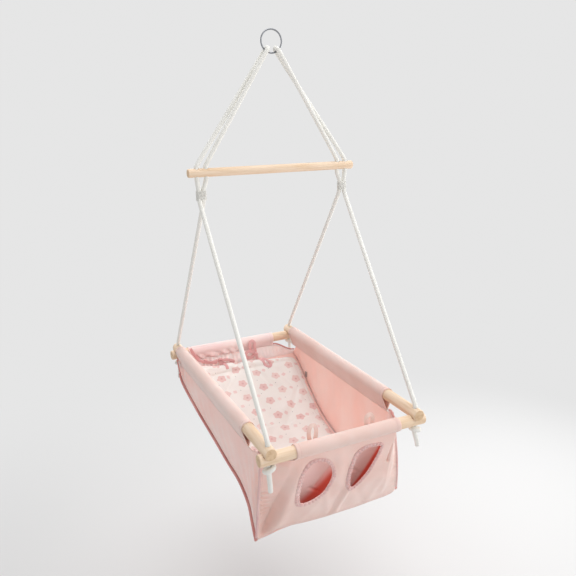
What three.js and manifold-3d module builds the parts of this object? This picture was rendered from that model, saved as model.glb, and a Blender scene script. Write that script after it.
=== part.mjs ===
// Hanging baby cradle: a notched timber frame that carries a cloth tub, hung by two ropes
// from one ring, with a spreader bar between them.
// Millimetres, +Z up, +X across, +Y from the foot end to the head end. The origin is the inside
// top of the ring, where a hook bears.
import * as THREE from 'three';
import { mergeVertices } from 'three/addons/utils/BufferGeometryUtils.js';
import Module from 'manifold-3d';

// Fits
const seatGap = 0.3;
const ropeHoleClearance = 0.5;
const cutOverrun = 5;

// Ring and ropes
const ringOuterDiameter = 60;
const ringWireDiameter = 4;
const ropeDiameter = 12;
const ropeSides = 10;
const loopAngle = THREE.MathUtils.degToRad(35);
const loopEndAngle = THREE.MathUtils.degToRad(49);
const strandStartAngle = THREE.MathUtils.degToRad(82);

// Spreader bar
const spreaderDiameter = 22;
const spreaderLength = 472;
const ringToSpreader = 314;
const spreaderOuterHoleInset = 23;
const spreaderHolePitch = 24;
const strandBendReach = 46;
const ropeMouthEase = 2.5;

// Bindings, where the two strands of a side are held together
const apexSpan = 408;
const bindingDrop = 44;
const bindingLength = 26;
const bindingWall = 1.2;
const bindingRidge = 0.6;
const bindingTurns = 5;

// Timber frame
const spreaderToFrame = 572;
const holeSpanAcross = 400;
const holeSpanAlong = 722;
const barDiameter = 30;
const barStack = 18;
const sideBarOverhang = 18;
const endBarOverhang = 25;
const endRounding = 2.5;
const hangShift = -10;

// Knots and rope ends
const knotTilt = THREE.MathUtils.degToRad(13);
const knotCoilDiameter = 20;
const ropeEndLength = 56;
const ropeEndLean = 7;
const ropeEndBendShare = 0.25;

// Cloth
const clothThickness = 2.5;
const sleeveWall = 2.2;
const sleeveSeamHeight = 6.5;
const sleeveSeamOpening = 1.1;
const sideSleeveDrop = 62;
const sideSleeveFootInset = 120;
const sideSleeveHeadInset = 27;
const endSleeveDrop = 57.5;
const endSleeveLength = 284;
const endSleeveLean = 8;
const tubHeadInset = 20;
const tubFootInset = 78;
const tubDepth = 290;
const tubHeadDepth = 94;
const tubHalfWidth = 203;
const rimHalfWidth = 184;
const rimFootInset = 44;
const rimFootDepth = 44;
const rimHeadDepth = 86;
const floorSag = 9;
const frontBow = 12;
const sideBow = 6;
const footLift = 8;
const pipingDiameter = 6;
const bindingEdgeDiameter = 5;

// Leg openings
const legOpeningWidth = 88;
const legOpeningHeight = 114;
const legOpeningSpacing = 140;
const legOpeningDepth = 138;
const legTrimWidth = 9;
const legTrimHeight = 4.5;
const legTrimGathers = 16;
const legTrimRipple = 0.9;

// Pad
const padThickness = 22;
const padEdgeThickness = 8;
const padCreaseDepth = 3;
const padBedding = 0.8;
const padEndInset = 69;
const padEndDepth = 115;
const padEndHalfWidth = 165;

// Ribbons and label tab
const ribbonWidth = 5;
const ribbonThickness = 1.2;
const bowLoopLength = 30;
const bowLoopWidth = 20;
const bowTailLength = 36;
const bowKnotWidth = 9;
const bowKnotDepth = 7;
const bowDroop = THREE.MathUtils.degToRad(14);
const footLoopHeight = 38;
const footLoopWidth = 18;
const tabWidth = 14;
const tabHeight = 18;
const tabThickness = 1;

// Heights of the main levels below the ring's inside top
const ringRadius = (ringOuterDiameter - ringWireDiameter) / 2;
const ringCentreZ = -(ringOuterDiameter / 2 - ringWireDiameter);
const spreaderZ = ringCentreZ - ringToSpreader;
const frameTopZ = spreaderZ - spreaderToFrame;
const ropeRadius = ropeDiameter / 2;
const ropeHoleRadius = ropeRadius + ropeHoleClearance;
const bindingTopZ = spreaderZ - bindingDrop;
const bindingBottomZ = bindingTopZ - bindingLength;
const rockAxisZ = bindingBottomZ - seatGap - ropeRadius;
const strandOffset = ropeRadius + seatGap / 2;
const barRadius = barDiameter / 2;
const sideBarZ = -barRadius;
const endBarZ = sideBarZ - barStack;
const frameBottomZ = endBarZ - barRadius;
const lapZ = (sideBarZ + endBarZ) / 2;

// Tub reference places, from the middle of the four rope holes at the frame's top
const halfAcross = holeSpanAcross / 2;
const halfAlong = holeSpanAlong / 2;
const tubHeadY = halfAlong - tubHeadInset;
const tubFootY = -halfAlong + tubFootInset;
const tubLength = tubHeadY - tubFootY;
const rimFootY = -halfAlong + rimFootInset;
const cornerClear = clothThickness + seatGap;
const endSleeveHalf = endSleeveLength / 2;
const tubPanelTopZ = -(endSleeveDrop + seatGap);

const wasm = await Module();
wasm.setup();

const materials = {
  steel: new THREE.MeshStandardMaterial({ color: 0x9a9a9c, roughness: 0.3, metalness: 1 }),
  rope: new THREE.MeshStandardMaterial({ color: 0xf3f1ec, roughness: 0.85, metalness: 0 }),
  timber: new THREE.MeshStandardMaterial({ color: 0xebd2b0, roughness: 0.55, metalness: 0 }),
  blush: new THREE.MeshStandardMaterial({ color: 0xf1dcd4, roughness: 0.9, metalness: 0 }),
  salmon: new THREE.MeshStandardMaterial({ color: 0xf2bba9, roughness: 0.9, metalness: 0 }),
  piping: new THREE.MeshStandardMaterial({ color: 0xd9939a, roughness: 0.9, metalness: 0 }),
  pad: new THREE.MeshStandardMaterial({ color: 0xeee2d8, roughness: 0.9, metalness: 0 }),
  tab: new THREE.MeshStandardMaterial({ color: 0xb9b5b3, roughness: 0.9, metalness: 0 }),
};

const cradle = new THREE.Group();
const frameGroup = new THREE.Group();
frameGroup.position.set(0, hangShift, frameTopZ);
cradle.add(frameGroup);

function addPiece(parent, name, geometry, material) {
  const mesh = new THREE.Mesh(geometry, material);
  mesh.name = name;
  parent.add(mesh);
}

function at(x, y, z) {
  return new THREE.Vector3(x, y, z);
}

// Joining and cutting of closed solids

function toSolid(geometry) {
  const bare = geometry.clone();
  bare.deleteAttribute('normal');
  bare.deleteAttribute('uv');
  const merged = mergeVertices(bare);
  return new wasm.Manifold(new wasm.Mesh({
    numProp: 3,
    vertProperties: new Float32Array(merged.attributes.position.array),
    triVerts: new Uint32Array(merged.index.array),
  }));
}

function toGeometry(solid) {
  const mesh = solid.getMesh();
  const geometry = new THREE.BufferGeometry();
  geometry.setAttribute('position', new THREE.BufferAttribute(mesh.vertProperties, 3));
  geometry.setIndex(new THREE.BufferAttribute(mesh.triVerts, 1));
  geometry.computeVertexNormals();
  return geometry;
}

function cutAway(body, cutters) {
  let solid = toSolid(body);
  for (const cutter of cutters) {
    solid = solid.subtract(toSolid(cutter));
  }
  return toGeometry(solid);
}

// The main body of a join, without the slivers that grazing faces can leave

function mainBody(solid) {
  const bodies = solid.decompose();
  return bodies.reduce((main, body) => (body.volume() > main.volume() ? body : main));
}

function joinAll(pieces) {
  let solid = toSolid(pieces[0]);
  for (const piece of pieces.slice(1)) {
    solid = solid.add(toSolid(piece));
  }
  return toGeometry(mainBody(solid));
}

// A sweep's path through chosen points: every point is one station of the sweep

class StationPath extends THREE.Curve {
  constructor(points) {
    super();
    this.points = points;
  }

  getPoint(share, target = new THREE.Vector3()) {
    const place = share * (this.points.length - 1);
    const index = Math.min(Math.floor(place), this.points.length - 2);
    return target.lerpVectors(this.points[index], this.points[index + 1], place - index);
  }

  getPointAt(share, target) {
    return this.getPoint(share, target);
  }

  getTangentAt(share, target) {
    return this.getTangent(share, target);
  }
}

function sweep(points, section) {
  return new THREE.ExtrudeGeometry(section, {
    extrudePath: new StationPath(points),
    steps: points.length - 1,
    bevelEnabled: false,
  });
}

function roundSection(radius, sides) {
  const outline = [];
  for (let side = 0; side < sides; side += 1) {
    const turn = (2 * Math.PI * side) / sides;
    outline.push(new THREE.Vector2(radius * Math.cos(turn), radius * Math.sin(turn)));
  }
  return new THREE.Shape(outline);
}

function flatSection(width, thickness) {
  return new THREE.Shape([
    new THREE.Vector2(-thickness / 2, -width / 2),
    new THREE.Vector2(thickness / 2, -width / 2),
    new THREE.Vector2(thickness / 2, width / 2),
    new THREE.Vector2(-thickness / 2, width / 2),
  ]);
}

const ropeSection = roundSection(ropeRadius, ropeSides);

// A corner of a route, eased from a reach before it to a reach after it

function easedCorner(before, corner, after, reachBefore, reachAfter, count) {
  const start = corner.clone().lerp(before, reachBefore / corner.distanceTo(before));
  const end = corner.clone().lerp(after, reachAfter / corner.distanceTo(after));
  return new THREE.QuadraticBezierCurve3(start, corner, end).getPoints(count);
}

// Round timber with eased ends, along Y

function dowel(length, diameter) {
  const radius = diameter / 2;
  const half = length / 2;
  const ease = endRounding / 3;
  const profile = [
    new THREE.Vector2(0, -half),
    new THREE.Vector2(radius - endRounding, -half),
    new THREE.Vector2(radius - ease, -half + ease),
    new THREE.Vector2(radius, -half + endRounding),
    new THREE.Vector2(radius, half - endRounding),
    new THREE.Vector2(radius - ease, half - ease),
    new THREE.Vector2(radius - endRounding, half),
    new THREE.Vector2(0, half),
  ];
  return new THREE.LatheGeometry(profile, 20);
}

function ropeHole(x, y, z, depth) {
  const cutter = new THREE.CylinderGeometry(ropeHoleRadius, ropeHoleRadius, depth, 16);
  cutter.rotateX(Math.PI / 2);
  cutter.translate(x, y, z);
  return cutter;
}

// Ring and the two rope loops over it

function buildRing() {
  const ring = new THREE.TorusGeometry(ringRadius, ringWireDiameter / 2, 8, 32);
  ring.rotateX(Math.PI / 2);
  ring.translate(0, 0, ringCentreZ);
  addPiece(cradle, 'hanging_ring', ring, materials.steel);
}

const loopRadius = ringWireDiameter / 2 + seatGap + ropeRadius;
const loopX = ringRadius * Math.sin(loopAngle);
const loopZ = ringCentreZ - ringRadius * Math.cos(loopAngle);

function pointOnLoop(side, turn) {
  const rise = loopRadius * Math.cos(turn);
  return at(
    side * (loopX - rise * Math.sin(loopAngle)),
    loopRadius * Math.sin(turn),
    loopZ + rise * Math.cos(loopAngle),
  );
}

function buildRopeLoop(side, sideName) {
  const points = [];
  const steps = 10;
  for (let step = 0; step <= steps; step += 1) {
    points.push(pointOnLoop(side, loopEndAngle * ((2 * step) / steps - 1)));
  }
  addPiece(cradle, `${sideName}_rope_loop`, sweep(points, ropeSection), materials.rope);
}

// Upper strands: from the loop, through the spreader bar, to the bottom of the binding

const outerHoleX = spreaderLength / 2 - spreaderOuterHoleInset;
const innerHoleX = outerHoleX - spreaderHolePitch;
const outerApexX = apexSpan / 2 + strandOffset;
const innerApexX = apexSpan / 2 - strandOffset;

function upperStrandRoute(side, facing, holeX, apexX) {
  const start = pointOnLoop(side, facing * strandStartAngle);
  const turning = pointOnLoop(side, (facing * (strandStartAngle + Math.PI / 2)) / 2);
  const besideWire = pointOnLoop(side, (facing * Math.PI) / 2);
  const mouthRise = spreaderDiameter / 2 + ropeRadius;
  const mouth = at(side * holeX, 0, spreaderZ + mouthRise);
  const exit = at(side * holeX, 0, spreaderZ - mouthRise);
  const apexTop = at(side * apexX, 0, bindingTopZ);
  const apexBottom = at(side * apexX, 0, bindingBottomZ);
  return [
    start,
    turning,
    besideWire,
    ...easedCorner(besideWire, mouth, exit, strandBendReach, ropeMouthEase, 4),
    exit,
    apexTop,
    apexBottom,
  ];
}

function buildUpperStrands(side, sideName) {
  const inner = upperStrandRoute(side, -1, innerHoleX, innerApexX);
  const outer = upperStrandRoute(side, 1, outerHoleX, outerApexX);
  addPiece(cradle, `${sideName}_inner_upper_rope`, sweep(inner, ropeSection), materials.rope);
  addPiece(cradle, `${sideName}_outer_upper_rope`, sweep(outer, ropeSection), materials.rope);
}

function buildSpreader() {
  const bar = dowel(spreaderLength, spreaderDiameter);
  bar.rotateZ(Math.PI / 2);
  const holes = [];
  for (const side of [-1, 1]) {
    for (const holeX of [outerHoleX, innerHoleX]) {
      holes.push(ropeHole(side * holeX, 0, 0, spreaderDiameter + 2 * cutOverrun));
    }
  }
  const spreader = cutAway(bar, holes);
  spreader.translate(0, 0, spreaderZ);
  addPiece(cradle, 'spreader_bar', spreader, materials.timber);
}

// Binding: cord whipped round both strands, with a ridge for each turn

function stadium(halfGap, radius) {
  const outline = new THREE.Path();
  outline.absarc(halfGap, 0, radius, -Math.PI / 2, Math.PI / 2, false);
  outline.absarc(-halfGap, 0, radius, Math.PI / 2, (3 * Math.PI) / 2, false);
  return outline.getPoints(5);
}

function whippedTurn(wall, height) {
  const shape = new THREE.Shape(stadium(strandOffset, ropeRadius + seatGap + wall));
  shape.holes.push(new THREE.Path(stadium(strandOffset, ropeRadius + seatGap)));
  return new THREE.ExtrudeGeometry(shape, { depth: height, bevelEnabled: false });
}

function buildBinding(side, sideName) {
  const pitch = bindingLength / bindingTurns;
  const turns = [whippedTurn(bindingWall, bindingLength)];
  for (let turn = 0; turn < bindingTurns; turn += 2) {
    const ridge = whippedTurn(bindingWall + bindingRidge, pitch);
    ridge.translate(0, 0, turn * pitch);
    turns.push(ridge);
  }
  const binding = joinAll(turns);
  binding.translate((side * apexSpan) / 2, 0, bindingBottomZ);
  addPiece(cradle, `${sideName}_rope_binding`, binding, materials.rope);
}

// Lower strands: a rounded top end under the binding, down through both bars of a corner

function buildLowerStrand(side, end, name, apexX) {
  const top = at(side * apexX, 0, rockAxisZ);
  const cornerY = hangShift + end * halfAlong;
  const mouth = at(side * halfAcross, cornerY, frameTopZ + ropeRadius);
  const foot = at(side * halfAcross, cornerY, frameTopZ + frameBottomZ);
  const route = [top, ...easedCorner(top, mouth, foot, ropeDiameter, ropeMouthEase, 3), foot];
  const roundedTop = new THREE.SphereGeometry(ropeRadius, ropeSides, 6);
  roundedTop.translate(top.x, top.y, top.z);
  const strand = joinAll([sweep(route, ropeSection), roundedTop]);
  addPiece(cradle, `${name}_lower_rope`, strand, materials.rope);
}

// Timber frame: side bars above, end bars below, half-lapped and drilled where they cross

function lapCutter(x, y, above) {
  const width = barDiameter + 2 * seatGap;
  const cutter = new THREE.BoxGeometry(width, width, barRadius + cutOverrun);
  const centreOffset = (barRadius + cutOverrun) / 2 - seatGap / 2;
  cutter.translate(x, y, lapZ + (above ? centreOffset : -centreOffset));
  return cutter;
}

function buildSideBar(side, sideName) {
  const bar = dowel(holeSpanAlong + 2 * sideBarOverhang, barDiameter);
  bar.translate(side * halfAcross, 0, sideBarZ);
  const cutters = [];
  for (const end of [-1, 1]) {
    cutters.push(lapCutter(side * halfAcross, end * halfAlong, false));
    cutters.push(ropeHole(side * halfAcross, end * halfAlong, sideBarZ, barDiameter + 2 * cutOverrun));
  }
  addPiece(frameGroup, `${sideName}_side_bar`, cutAway(bar, cutters), materials.timber);
}

function buildEndBar(end, endName) {
  const bar = dowel(holeSpanAcross + 2 * endBarOverhang, barDiameter);
  bar.rotateZ(Math.PI / 2);
  bar.translate(0, end * halfAlong, endBarZ);
  const cutters = [];
  for (const side of [-1, 1]) {
    cutters.push(lapCutter(side * halfAcross, end * halfAlong, true));
    cutters.push(ropeHole(side * halfAcross, end * halfAlong, endBarZ, barDiameter + 2 * cutOverrun));
  }
  addPiece(frameGroup, `${endName}_end_bar`, cutAway(bar, cutters), materials.timber);
}

// Stopper knot: one tight turn round the rope, and the free end below it

function buildKnot(side, end, name) {
  const coilRadius = knotCoilDiameter / 2;
  const coilHalfHeight = ropeRadius + coilRadius * Math.sin(knotTilt);
  const topZ = frameBottomZ - seatGap;
  const coil = new THREE.TorusGeometry(coilRadius, ropeRadius, ropeSides, 16);
  coil.rotateY(-side * knotTilt);
  coil.translate(0, 0, topZ - coilHalfHeight);
  const endTopZ = topZ - 2 * coilHalfHeight;
  const freeEnd = sweep([
    at(0, 0, topZ),
    at(0, 0, endTopZ),
    at(side * ropeEndBendShare * ropeEndLean, 0, endTopZ - ropeEndLength / 2),
    at(side * ropeEndLean, 0, endTopZ - ropeEndLength),
  ], ropeSection);
  const knot = joinAll([freeEnd, coil]);
  knot.translate(side * halfAcross, end * halfAlong, 0);
  addPiece(frameGroup, `${name}_rope_knot`, knot, materials.rope);
}

// Sleeves: cloth wrapped over a bar and closed by a seam below it

function dropOutline(radius, drop, lean, tipHalf) {
  const towardTip = Math.atan2(-drop, lean);
  const tangentTurn = Math.acos(radius / Math.hypot(drop, lean));
  const outline = new THREE.Path();
  outline.absarc(0, 0, radius, towardTip + tangentTurn, towardTip - tangentTurn + 2 * Math.PI, false);
  outline.lineTo(lean - tipHalf, -drop);
  outline.lineTo(lean + tipHalf, -drop);
  outline.closePath();
  return outline.getPoints(9);
}

function sleeveSolid(length, drop, lean) {
  const innerRadius = barRadius + seatGap;
  const outerRadius = innerRadius + sleeveWall;
  const outer = dropOutline(outerRadius, drop, lean, sleeveWall);
  const inner = dropOutline(innerRadius, drop - sleeveSeamHeight, lean, sleeveSeamOpening / 2);
  const shape = new THREE.Shape(outer);
  shape.holes.push(new THREE.Path(inner));
  const sleeve = new THREE.ExtrudeGeometry(shape, { depth: length, bevelEnabled: false });
  sleeve.translate(0, 0, -length / 2);
  sleeve.rotateX(Math.PI / 2);
  return sleeve;
}

function buildSideSleeve(side, sideName) {
  const sleeve = sleeveSolid(sleeveHeadY - sleeveFootY, sideSleeveDrop + sideBarZ, 0);
  sleeve.translate(side * halfAcross, (sleeveFootY + sleeveHeadY) / 2, sideBarZ);
  addPiece(frameGroup, `${sideName}_side_sleeve`, sleeve, materials.blush);
}

function buildEndSleeve(end, endName) {
  const sleeve = sleeveSolid(endSleeveLength, endSleeveDrop + endBarZ, endSleeveLean);
  sleeve.rotateZ((-end * Math.PI) / 2);
  sleeve.translate(0, end * halfAlong, endBarZ);
  addPiece(frameGroup, `${endName}_end_sleeve`, sleeve, materials.blush);
}

// Cloth: a closed solid between two offsets of a surface, over a grid of its two shares

function sheet(surface, innerOffset, outerOffset, across, along) {
  const columns = across + 1;
  const rows = along + 1;
  const middle = [];
  for (let row = 0; row < rows; row += 1) {
    for (let column = 0; column < columns; column += 1) {
      middle.push(surface(column / across, row / along));
    }
  }
  const place = (column, row) => middle[row * columns + column];
  const positions = [];
  for (const offsetAt of [innerOffset, outerOffset]) {
    for (let row = 0; row < rows; row += 1) {
      for (let column = 0; column < columns; column += 1) {
        const right = place(Math.min(column + 1, across), row);
        const left = place(Math.max(column - 1, 0), row);
        const above = place(column, Math.min(row + 1, along));
        const below = place(column, Math.max(row - 1, 0));
        const normal = right.clone().sub(left).cross(above.clone().sub(below)).normalize();
        const offset = offsetAt(column / across, row / along);
        positions.push(...place(column, row).clone().addScaledVector(normal, offset).toArray());
      }
    }
  }
  const layer = rows * columns;
  const faces = [];
  for (let row = 0; row < along; row += 1) {
    for (let column = 0; column < across; column += 1) {
      const corner = row * columns + column;
      const next = corner + 1;
      const over = corner + columns;
      faces.push(corner, over, next, next, over, over + 1);
      faces.push(layer + corner, layer + next, layer + over);
      faces.push(layer + next, layer + over + 1, layer + over);
    }
  }
  const rim = [];
  for (let column = 0; column < across; column += 1) {
    rim.push(column);
  }
  for (let row = 0; row < along; row += 1) {
    rim.push(row * columns + across);
  }
  for (let column = across; column > 0; column -= 1) {
    rim.push(along * columns + column);
  }
  for (let row = along; row > 0; row -= 1) {
    rim.push(row * columns);
  }
  rim.forEach((here, index) => {
    const there = rim[(index + 1) % rim.length];
    faces.push(here, there, layer + here, there, layer + there, layer + here);
  });
  const geometry = new THREE.BufferGeometry();
  geometry.setAttribute('position', new THREE.BufferAttribute(new Float32Array(positions), 3));
  geometry.setIndex(faces);
  geometry.computeVertexNormals();
  return geometry;
}

const halfCloth = () => clothThickness / 2;
const minusHalfCloth = () => -clothThickness / 2;

// How finely each long piece of cloth is drawn
const longRows = 26;
const sidePanelRows = 5;
const floorColumns = 8;
const padColumns = 14;

// The tub's long edges from head to foot: shares of the tub's length, depth and half width.
// Each row: place along, floor depth, floor half width, place of the rim along.
const tubEdgeShares = [
  [0.0, 0.324, 1.0, 0.0],
  [0.07, 0.4, 1.005, 0.04],
  [0.234, 0.569, 0.946, 0.21],
  [0.405, 0.717, 0.882, 0.39],
  [0.561, 0.806, 0.857, 0.56],
  [0.701, 0.858, 0.846, 0.715],
  [0.826, 0.92, 0.878, 0.84],
  [0.919, 0.972, 0.942, 0.945],
  [1.0, 1.0, 1.0, 1.0],
];

function smoothThrough(points) {
  return new THREE.CatmullRomCurve3(points, false, 'centripetal');
}

const floorEdge = smoothThrough(tubEdgeShares.map(([along, depth, width]) => at(
  width * tubHalfWidth,
  tubHeadY - along * tubLength,
  -depth * tubDepth,
)));

// The rim runs level under each side sleeve, dips to the head corner and rises to the foot corner

const rimAlong = smoothThrough(tubEdgeShares.map(([, , , along]) => at(along, 0, 0)));
const sleeveTipZ = -(sideSleeveDrop + 2 * seatGap);
const sleeveFootY = -halfAlong + sideSleeveFootInset;
const sleeveHeadY = halfAlong - sideSleeveHeadInset;

function rimEdgePoint(along) {
  const y = THREE.MathUtils.lerp(tubHeadY, rimFootY, rimAlong.getPoint(along).x);
  const dip = THREE.MathUtils.smoothstep(y, sleeveHeadY - sideSleeveHeadInset, tubHeadY);
  const rise = 1 - THREE.MathUtils.smoothstep(y, rimFootY, sleeveFootY - clothThickness);
  return at(
    halfAcross + dip * (tubHalfWidth - halfAcross) - rise * (halfAcross - rimHalfWidth),
    y,
    sleeveTipZ - dip * (rimHeadDepth + sleeveTipZ) - rise * (rimFootDepth + sleeveTipZ),
  );
}

// Side panels, from the sleeve's seam and the corner rims down to the floor's edge

function sidePanelSurface(side) {
  return (down, along) => {
    const top = rimEdgePoint(along);
    const bottom = floorEdge.getPoint(along);
    const point = top.lerp(bottom, down);
    const inset = cornerClear * (1 - 2 * along) * Math.abs(1 - 2 * along);
    const bow = sideBow * Math.sin(Math.PI * down) * Math.sin(Math.PI * along);
    return at(side * (point.x + bow), point.y - inset, point.z);
  };
}

function buildSidePanel(side, sideName) {
  const panel = sheet(sidePanelSurface(side), minusHalfCloth, halfCloth, sidePanelRows, longRows);
  addPiece(frameGroup, `${sideName}_side_panel`, panel, materials.salmon);
}

// Soft folds of a cloth: ridges along lines given in the panel's two shares

function foldHeight(across, down, folds) {
  let height = 0;
  for (const [fromAcross, fromDown, toAcross, toDown, width, rise] of folds) {
    const runAcross = toAcross - fromAcross;
    const runDown = toDown - fromDown;
    const runSquared = runAcross ** 2 + runDown ** 2;
    const place = ((across - fromAcross) * runAcross + (down - fromDown) * runDown) / runSquared;
    const held = THREE.MathUtils.clamp(place, 0, 1);
    const offAcross = across - fromAcross - held * runAcross;
    const offDown = down - fromDown - held * runDown;
    const distance = Math.hypot(offAcross, offDown) / width;
    height += rise * Math.exp(-(distance ** 2));
  }
  return height;
}

// Front panel: hangs from the foot sleeve and is drawn back to the corners

function endRimPoint(across, halfWidth, corner, sleeveY) {
  const x = across * halfWidth;
  const under = 1 - THREE.MathUtils.smoothstep(Math.abs(x), endSleeveHalf + clothThickness, halfWidth);
  return at(
    x,
    THREE.MathUtils.lerp(corner.y, sleeveY, under),
    THREE.MathUtils.lerp(corner.z, tubPanelTopZ - seatGap, under),
  );
}

const frontCorner = at(rimHalfWidth, rimFootY, -rimFootDepth);
const frontSleeveY = -halfAlong + endSleeveLean;
const frontTopPoint = (across) => endRimPoint(across, rimHalfWidth, frontCorner, frontSleeveY);

// Each fold: start and end in shares across (-1 to 1) and down (0 to 1), width share, rise
const frontColumns = 28;
const frontRows = 12;
const frontFoldRise = 5;
const frontFoldStartShare = 0.1;
const frontFoldShares = [
  [0.0, 0.35, 0.04, 1.0, 0.09],
  [-0.86, 0.02, -0.62, 0.75, 0.07],
  [-0.95, 0.3, -0.78, 0.98, 0.06],
  [0.84, 0.05, 0.7, 0.8, 0.07],
];
const frontFolds = frontFoldShares.map((fold) => [...fold, frontFoldRise]);

function frontPanelSurface(share, down) {
  const across = 2 * share - 1;
  const top = frontTopPoint(across);
  const spread = 1 - across ** 2;
  const bottom = at(
    across * tubHalfWidth,
    tubFootY - footLift * spread,
    -tubDepth + footLift * spread,
  );
  const point = top.lerp(bottom, down);
  const bow = frontBow * Math.sin(Math.PI * down) * spread;
  const fade = Math.sin(Math.PI * Math.min(down + frontFoldStartShare, 1));
  point.y -= bow + foldHeight(across, down, frontFolds) * fade;
  return point;
}

function legOutline(side, width, height, ripple) {
  const outline = [];
  const count = ripple > 0 ? 3 * legTrimGathers : 24;
  for (let step = 0; step < count; step += 1) {
    const turn = (2 * Math.PI * step) / count;
    const wave = ripple * Math.cos(legTrimGathers * turn);
    const x = (side * legOpeningSpacing) / 2 + (width / 2 + wave) * Math.cos(turn);
    const z = -legOpeningDepth + (height / 2 + wave) * Math.sin(turn);
    outline.push(new THREE.Vector2(x, z));
  }
  return outline;
}

function acrossFront(outline) {
  const prism = new THREE.ExtrudeGeometry(outline, { depth: holeSpanAcross, bevelEnabled: false });
  prism.rotateX(Math.PI / 2);
  return prism;
}

function buildFrontPanel() {
  const panel = sheet(frontPanelSurface, minusHalfCloth, halfCloth, frontColumns, frontRows);
  const openings = [-1, 1].map((side) => (
    acrossFront(new THREE.Shape(legOutline(side, legOpeningWidth, legOpeningHeight, 0)))
  ));
  addPiece(frameGroup, 'front_panel', cutAway(panel, openings), materials.blush);
}

function buildLegTrim(side, sideName) {
  const ring = new THREE.Shape(legOutline(
    side,
    legOpeningWidth + 2 * legTrimWidth,
    legOpeningHeight + 2 * legTrimWidth,
    legTrimRipple,
  ));
  ring.holes.push(new THREE.Path(legOutline(side, legOpeningWidth, legOpeningHeight, 0)));
  const raised = sheet(
    frontPanelSurface,
    () => clothThickness / 2 + seatGap,
    () => clothThickness / 2 + seatGap + legTrimHeight,
    frontColumns,
    frontRows,
  );
  const trim = toGeometry(toSolid(acrossFront(ring)).intersect(toSolid(raised)));
  addPiece(frameGroup, `${sideName}_leg_trim`, trim, materials.blush);
}

// Back panel: a low gathered strip under the head sleeve

const backCorner = at(tubHalfWidth, tubHeadY, -rimHeadDepth);
const backSleeveY = halfAlong - endSleeveLean;
const backTopPoint = (across) => endRimPoint(across, tubHalfWidth, backCorner, backSleeveY);
const backGathers = 12.5;
const backPanelColumns = 48;
const backPanelRows = 3;
const backGatherDepth = 1.6;
const middleBowShare = 0.648;
const gathersBetweenBows = 4;

function backPanelSurface(share, down) {
  const across = 2 * share - 1;
  const top = backTopPoint(across);
  const bottom = at(across * tubHalfWidth, tubHeadY, -tubHeadDepth - clothThickness);
  const point = top.lerp(bottom, down);
  const gather = backGatherDepth * Math.cos(2 * Math.PI * backGathers * (share - middleBowShare));
  point.y -= gather * Math.sin(Math.PI * down) * (1 - across ** 4);
  return point;
}

function buildBackPanel() {
  const panel = sheet(backPanelSurface, minusHalfCloth, halfCloth, backPanelColumns, backPanelRows);
  addPiece(frameGroup, 'back_panel', panel, materials.blush);
}

// Floor cloth and the pad on it

function floorSurface(across, along) {
  const edge = floorEdge.getPoint(along);
  const spread = 1 - across ** 2;
  const sag = floorSag * spread * Math.sin(Math.PI * along);
  const lift = footLift * spread * along ** 6;
  const inset = cornerClear * (1 - 2 * along);
  return at(
    across * edge.x,
    edge.y - inset - lift,
    edge.z - clothThickness - sag + lift,
  );
}

function buildFloor() {
  const surface = (share, along) => floorSurface(2 * share - 1, along);
  const floor = sheet(surface, minusHalfCloth, halfCloth, floorColumns, longRows);
  addPiece(frameGroup, 'tub_floor', floor, materials.salmon);
}

// The pad lies on the floor, and its thin foot end stands up behind the leg openings.
// padStandShare is the share of its length that stands, and padCornerShare steers the turn.
const padHalfShare = 0.965;
const padHeadShare = 0.03;
const padFootShare = 0.86;
const padCornerShare = 0.995;
const padStandShare = 0.22;
const padCreaseShare = 0.66;
const padCreaseWidthShare = 0.06;

function padSurface(share, along) {
  const spread = 2 * share - 1;
  const across = padHalfShare * spread;
  const lying = Math.max(0, (along - padStandShare) / (1 - padStandShare));
  const onFloor = floorSurface(across, THREE.MathUtils.lerp(padFootShare, padHeadShare, lying));
  if (along >= padStandShare) {
    return onFloor;
  }
  const turn = along / padStandShare;
  const corner = floorSurface(across, padCornerShare);
  const end = at(spread * padEndHalfWidth, -halfAlong + padEndInset, -padEndDepth);
  return end.lerp(corner, turn).lerp(corner.clone().lerp(onFloor, turn), turn);
}

function buildPad() {
  const base = clothThickness / 2 + seatGap + padBedding;
  const top = (share, along) => {
    const drawnIn = (1 - (2 * share - 1) ** 6) * (1 - (2 * along - 1) ** 10);
    const crease = padCreaseDepth * Math.exp(-(((along - padCreaseShare) / padCreaseWidthShare) ** 2));
    const crown = (padThickness - padEdgeThickness) * Math.sqrt(drawnIn) - crease * drawnIn;
    const filled = THREE.MathUtils.smoothstep(along, padStandShare / 2, (3 * padStandShare) / 2);
    return base + padEdgeThickness + filled * crown;
  };
  const pad = sheet(padSurface, () => base, top, padColumns, longRows);
  addPiece(frameGroup, 'printed_pad', pad, materials.pad);
}

// Piping along the floor's long edges and down the front corners, and bound rims at the corners

function buildFloorPiping(side, sideName) {
  const points = [];
  const steps = 22;
  const outward = clothThickness / 2 + 2 * seatGap + pipingDiameter / 2;
  for (let step = 0; step <= steps; step += 1) {
    const edge = floorEdge.getPoint(step / steps);
    points.push(at(side * (edge.x + outward), edge.y, edge.z - clothThickness / 2));
  }
  const piping = sweep(points, roundSection(pipingDiameter / 2, 6));
  addPiece(frameGroup, `${sideName}_floor_piping`, piping, materials.piping);
}

function buildCornerPiping(side, sideName) {
  const outward = seatGap + pipingDiameter / 2;
  const points = [];
  const steps = 8;
  const lowest = 1 - (pipingDiameter + seatGap) / tubDepth;
  for (let step = 0; step <= steps; step += 1) {
    const edge = frontPanelSurface(1, (lowest * step) / steps);
    points.push(at(side * (edge.x + outward), edge.y, edge.z));
  }
  const piping = sweep(points, roundSection(pipingDiameter / 2, 6));
  addPiece(frameGroup, `${sideName}_corner_piping`, piping, materials.piping);
}

const rimBindingFootShare = 0.93;
const rimBindingHeadShare = 0.055;
const rimBindingEndShare = 0.2;

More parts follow.
